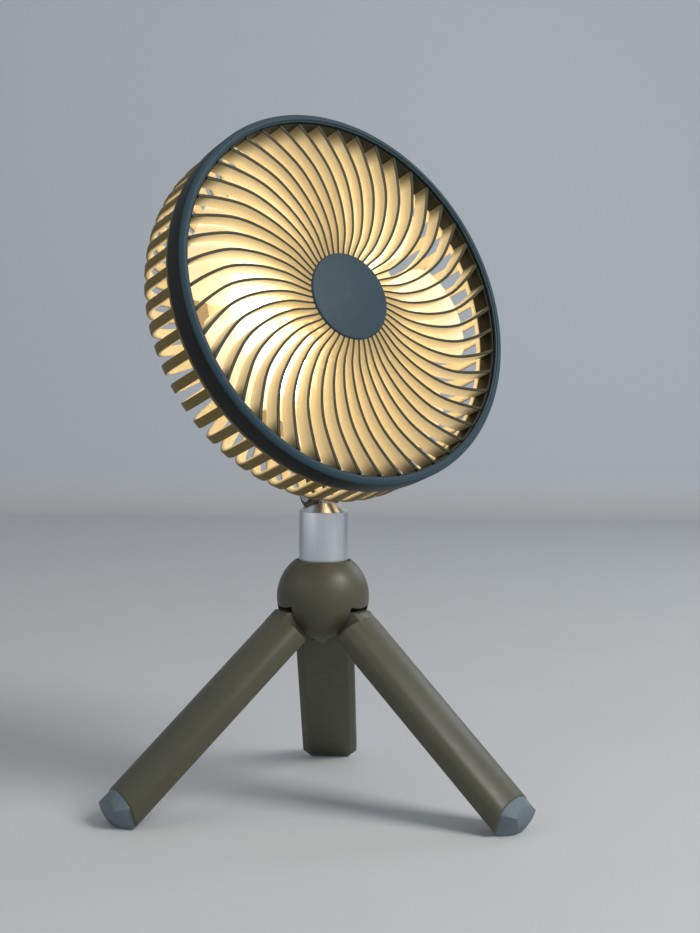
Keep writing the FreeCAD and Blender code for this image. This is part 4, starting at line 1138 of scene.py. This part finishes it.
class FAN_OT_plain_parts(bpy.types.Operator):
    """Finishes for the solids themselves"""
    bl_idname = "fan.plain_parts"
    bl_label = "Plain parts"

    def execute(self, context):
        slots = {node: slot for slot, nodes in SOLIDS_BY_SLOT.items() for node in nodes}
        for name in LEGS:
            slots["leg_" + name] = "khaki_plastic"
            slots["foot_" + name] = "foot_rubber"
        for node, piece in frame["nodes"].items():
            piece.data.materials.clear()
            piece.data.materials.append(finish(slots[node]))
        return {"FINISHED"}


# Stage

CAMERA_SPOT = Vector((-0.5340, -0.7042, 0.2163))
CAMERA_HEADING = Vector((0.6150, 0.7885, 0.0))
CAMERA_PITCH = math.radians(-3.74)
CAMERA_ROLL = math.radians(0.6)
LAMP_AIM = Vector((0.0, 0.0, 0.14))
TABLE_SIZE = (8.0, 4.5, 1.0)
TABLE_SHIFT = (0.0, -0.75, 0.0)
BACKDROP_HEIGHT = 2.5
BACKDROP_SWEEP = 60.0


def soft_lamp(name, across, towards, height, side, power, tint=(1.0, 1.0, 1.0)):
    """A square lamp placed from the object by the camera's right and the camera's side."""
    right = Vector((CAMERA_HEADING.y, -CAMERA_HEADING.x, 0.0))
    spot = right * across - CAMERA_HEADING * towards + Vector((0.0, 0.0, height))
    data = bpy.data.lights.new(name, "AREA")
    data.size = side
    data.energy = power
    data.color = tint
    lamp = bpy.data.objects.new(name, data)
    lamp.location = spot
    aim = LAMP_AIM - spot
    lamp.rotation_euler = aim.to_track_quat("-Z", "Y").to_euler()
    bpy.context.scene.collection.objects.link(lamp)


def table_top(colours):
    """A wide table whose far edge sweeps up into the backdrop."""
    turn = Matrix.Rotation(math.atan2(-CAMERA_HEADING.x, CAMERA_HEADING.y), 4, "Z")
    start_clean()
    bpy.ops.mesh.primitive_plane_add(size=1.0)
    floor = bpy.context.object
    floor.name = "table_top"
    floor.scale = TABLE_SIZE
    settled(floor, turn @ Matrix.Translation(TABLE_SHIFT))
    bpy.ops.object.mode_set(mode="EDIT")
    bpy.ops.mesh.select_mode(type="EDGE")
    bpy.ops.mesh.select_all(action="DESELECT")
    bpy.ops.object.mode_set(mode="OBJECT")
    far = max(vertex.co.dot(CAMERA_HEADING) for vertex in floor.data.vertices)
    for edge in floor.data.edges:
        ends = [floor.data.vertices[index].co.dot(CAMERA_HEADING) for index in edge.vertices]
        edge.select = min(ends) > far - 0.01
    bpy.ops.object.mode_set(mode="EDIT")
    bpy.ops.mesh.extrude_region_move(TRANSFORM_OT_translate={"value": (0.0, 0.0, BACKDROP_HEIGHT)})
    bpy.ops.mesh.select_mode(type="VERT")
    bpy.ops.object.mode_set(mode="OBJECT")
    rounded(floor, BACKDROP_SWEEP, 8)
    bpy.ops.object.shade_smooth()
    paint = Paint("pale_table")
    spot = paint.place()
    haze = paint.noise(spot, 9.0, 3.0)
    table = paint.mixed(haze, shade(colours.table, 0.97), shade(colours.table, 1.03))
    tone = paint.mixed(paint.axes(spot)[2].rise(0.0, 0.08), table, colours.backdrop)
    floor.data.materials.append(paint.set(Base_Color=tone, Roughness=0.6))
    return floor


def pale_room(colours):
    """A world that shows as the backdrop to the camera and to gloss, and lights at the room's level."""
    world = bpy.data.worlds.new("pale_room")
    world.use_nodes = True
    tree = world.node_tree
    tree.nodes.clear()
    seen = tree.nodes.new("ShaderNodeBackground")
    seen.inputs[0].default_value = (*colours.backdrop, 1.0)
    lit = tree.nodes.new("ShaderNodeBackground")
    lit.inputs[0].default_value = (0.95, 0.98, 1.0, 1.0)
    lit.inputs[1].default_value = colours.sky
    rays = tree.nodes.new("ShaderNodeLightPath")
    either = tree.nodes.new("ShaderNodeMath")
    either.operation = "MAXIMUM"
    mix = tree.nodes.new("ShaderNodeMixShader")
    output = tree.nodes.new("ShaderNodeOutputWorld")
    for source, target in (
            (rays.outputs["Is Camera Ray"], either.inputs[0]),
            (rays.outputs["Is Glossy Ray"], either.inputs[1]),
            (either.outputs[0], mix.inputs[0]), (lit.outputs[0], mix.inputs[1]),
            (seen.outputs[0], mix.inputs[2]), (mix.outputs[0], output.inputs[0])):
        tree.links.new(source, target)
    return world


def front_camera(colours):
    data = bpy.data.cameras.new("front_camera")
    data.lens = colours.camera_lens
    data.sensor_width = 36.0
    camera = bpy.data.objects.new("front_camera", data)
    camera.location = CAMERA_SPOT
    aim = CAMERA_HEADING.normalized() * math.cos(CAMERA_PITCH) + Vector((0, 0, math.sin(CAMERA_PITCH)))
    facing = aim.to_track_quat("-Z", "Y") @ Quaternion((0.0, 0.0, 1.0), CAMERA_ROLL)
    camera.rotation_euler = facing.to_euler()
    bpy.context.scene.collection.objects.link(camera)
    return camera


class FAN_OT_stage(bpy.types.Operator):
    """Pale table and backdrop, soft lamps and the camera"""
    bl_idname = "fan.stage"
    bl_label = "Stage"

    def execute(self, context):
        scene = context.scene
        colours = scene.fan_stage
        floor = table_top(colours)
        soft_lamp("key_lamp", 1.0, 0.65, 1.15, 0.7, colours.key_power, (1.0, 0.99, 0.97))
        soft_lamp("fill_lamp", -1.2, 0.8, 0.8, 1.0, colours.fill_power)
        soft_lamp("edge_lamp", 0.9, -0.9, 0.7, 0.5, colours.fill_power * 1.4, (0.86, 0.94, 1.0))
        scene.world = pale_room(colours)
        scene.camera = front_camera(colours)
        scene.view_settings.view_transform = "Standard"
        return {"FINISHED"}


class VIEW3D_PT_camping_fan(bpy.types.Panel):
    """Camping fan pieces"""
    bl_label = "Camping Fan"
    bl_space_type = "VIEW_3D"
    bl_region_type = "UI"
    bl_category = "Camping Fan"

    def draw(self, context):
        for step in STEPS:
            self.layout.operator(step.bl_idname)
        for group in (context.scene.fan_head, context.scene.fan_stand,
                      context.scene.fan_finishes, context.scene.fan_stage):
            box = self.layout.box()
            for name in group.__annotations__:
                box.prop(group, name)


GROUPS = {
    "fan_head": FanHeadSizes, "fan_stand": FanStandSizes, "fan_finishes": FanFinishes,
    "fan_stage": FanStage}
STEPS = (
    FAN_OT_stage, FAN_OT_plain_parts, FAN_OT_front_rim, FAN_OT_spiral_grille, FAN_OT_centre_cap,
    FAN_OT_rear_cage, FAN_OT_light_ring, FAN_OT_impeller, FAN_OT_back_screws, FAN_OT_button_marks,
    FAN_OT_stem_tube, FAN_OT_tripod_legs, FAN_OT_rubber_feet)


def register():
    for name, group in GROUPS.items():
        bpy.utils.register_class(group)
        setattr(bpy.types.Scene, name, PointerProperty(type=group))
    for step in STEPS + (VIEW3D_PT_camping_fan,):
        bpy.utils.register_class(step)


def unregister():
    for step in (VIEW3D_PT_camping_fan,) + STEPS[::-1]:
        bpy.utils.unregister_class(step)
    for name, group in GROUPS.items():
        delattr(bpy.types.Scene, name)
        bpy.utils.unregister_class(group)


def main():
    register()
    for step in STEPS:
        family, operator = step.bl_idname.split(".")
        getattr(getattr(bpy.ops, family), operator)()


if __name__ == "__main__":
    main()
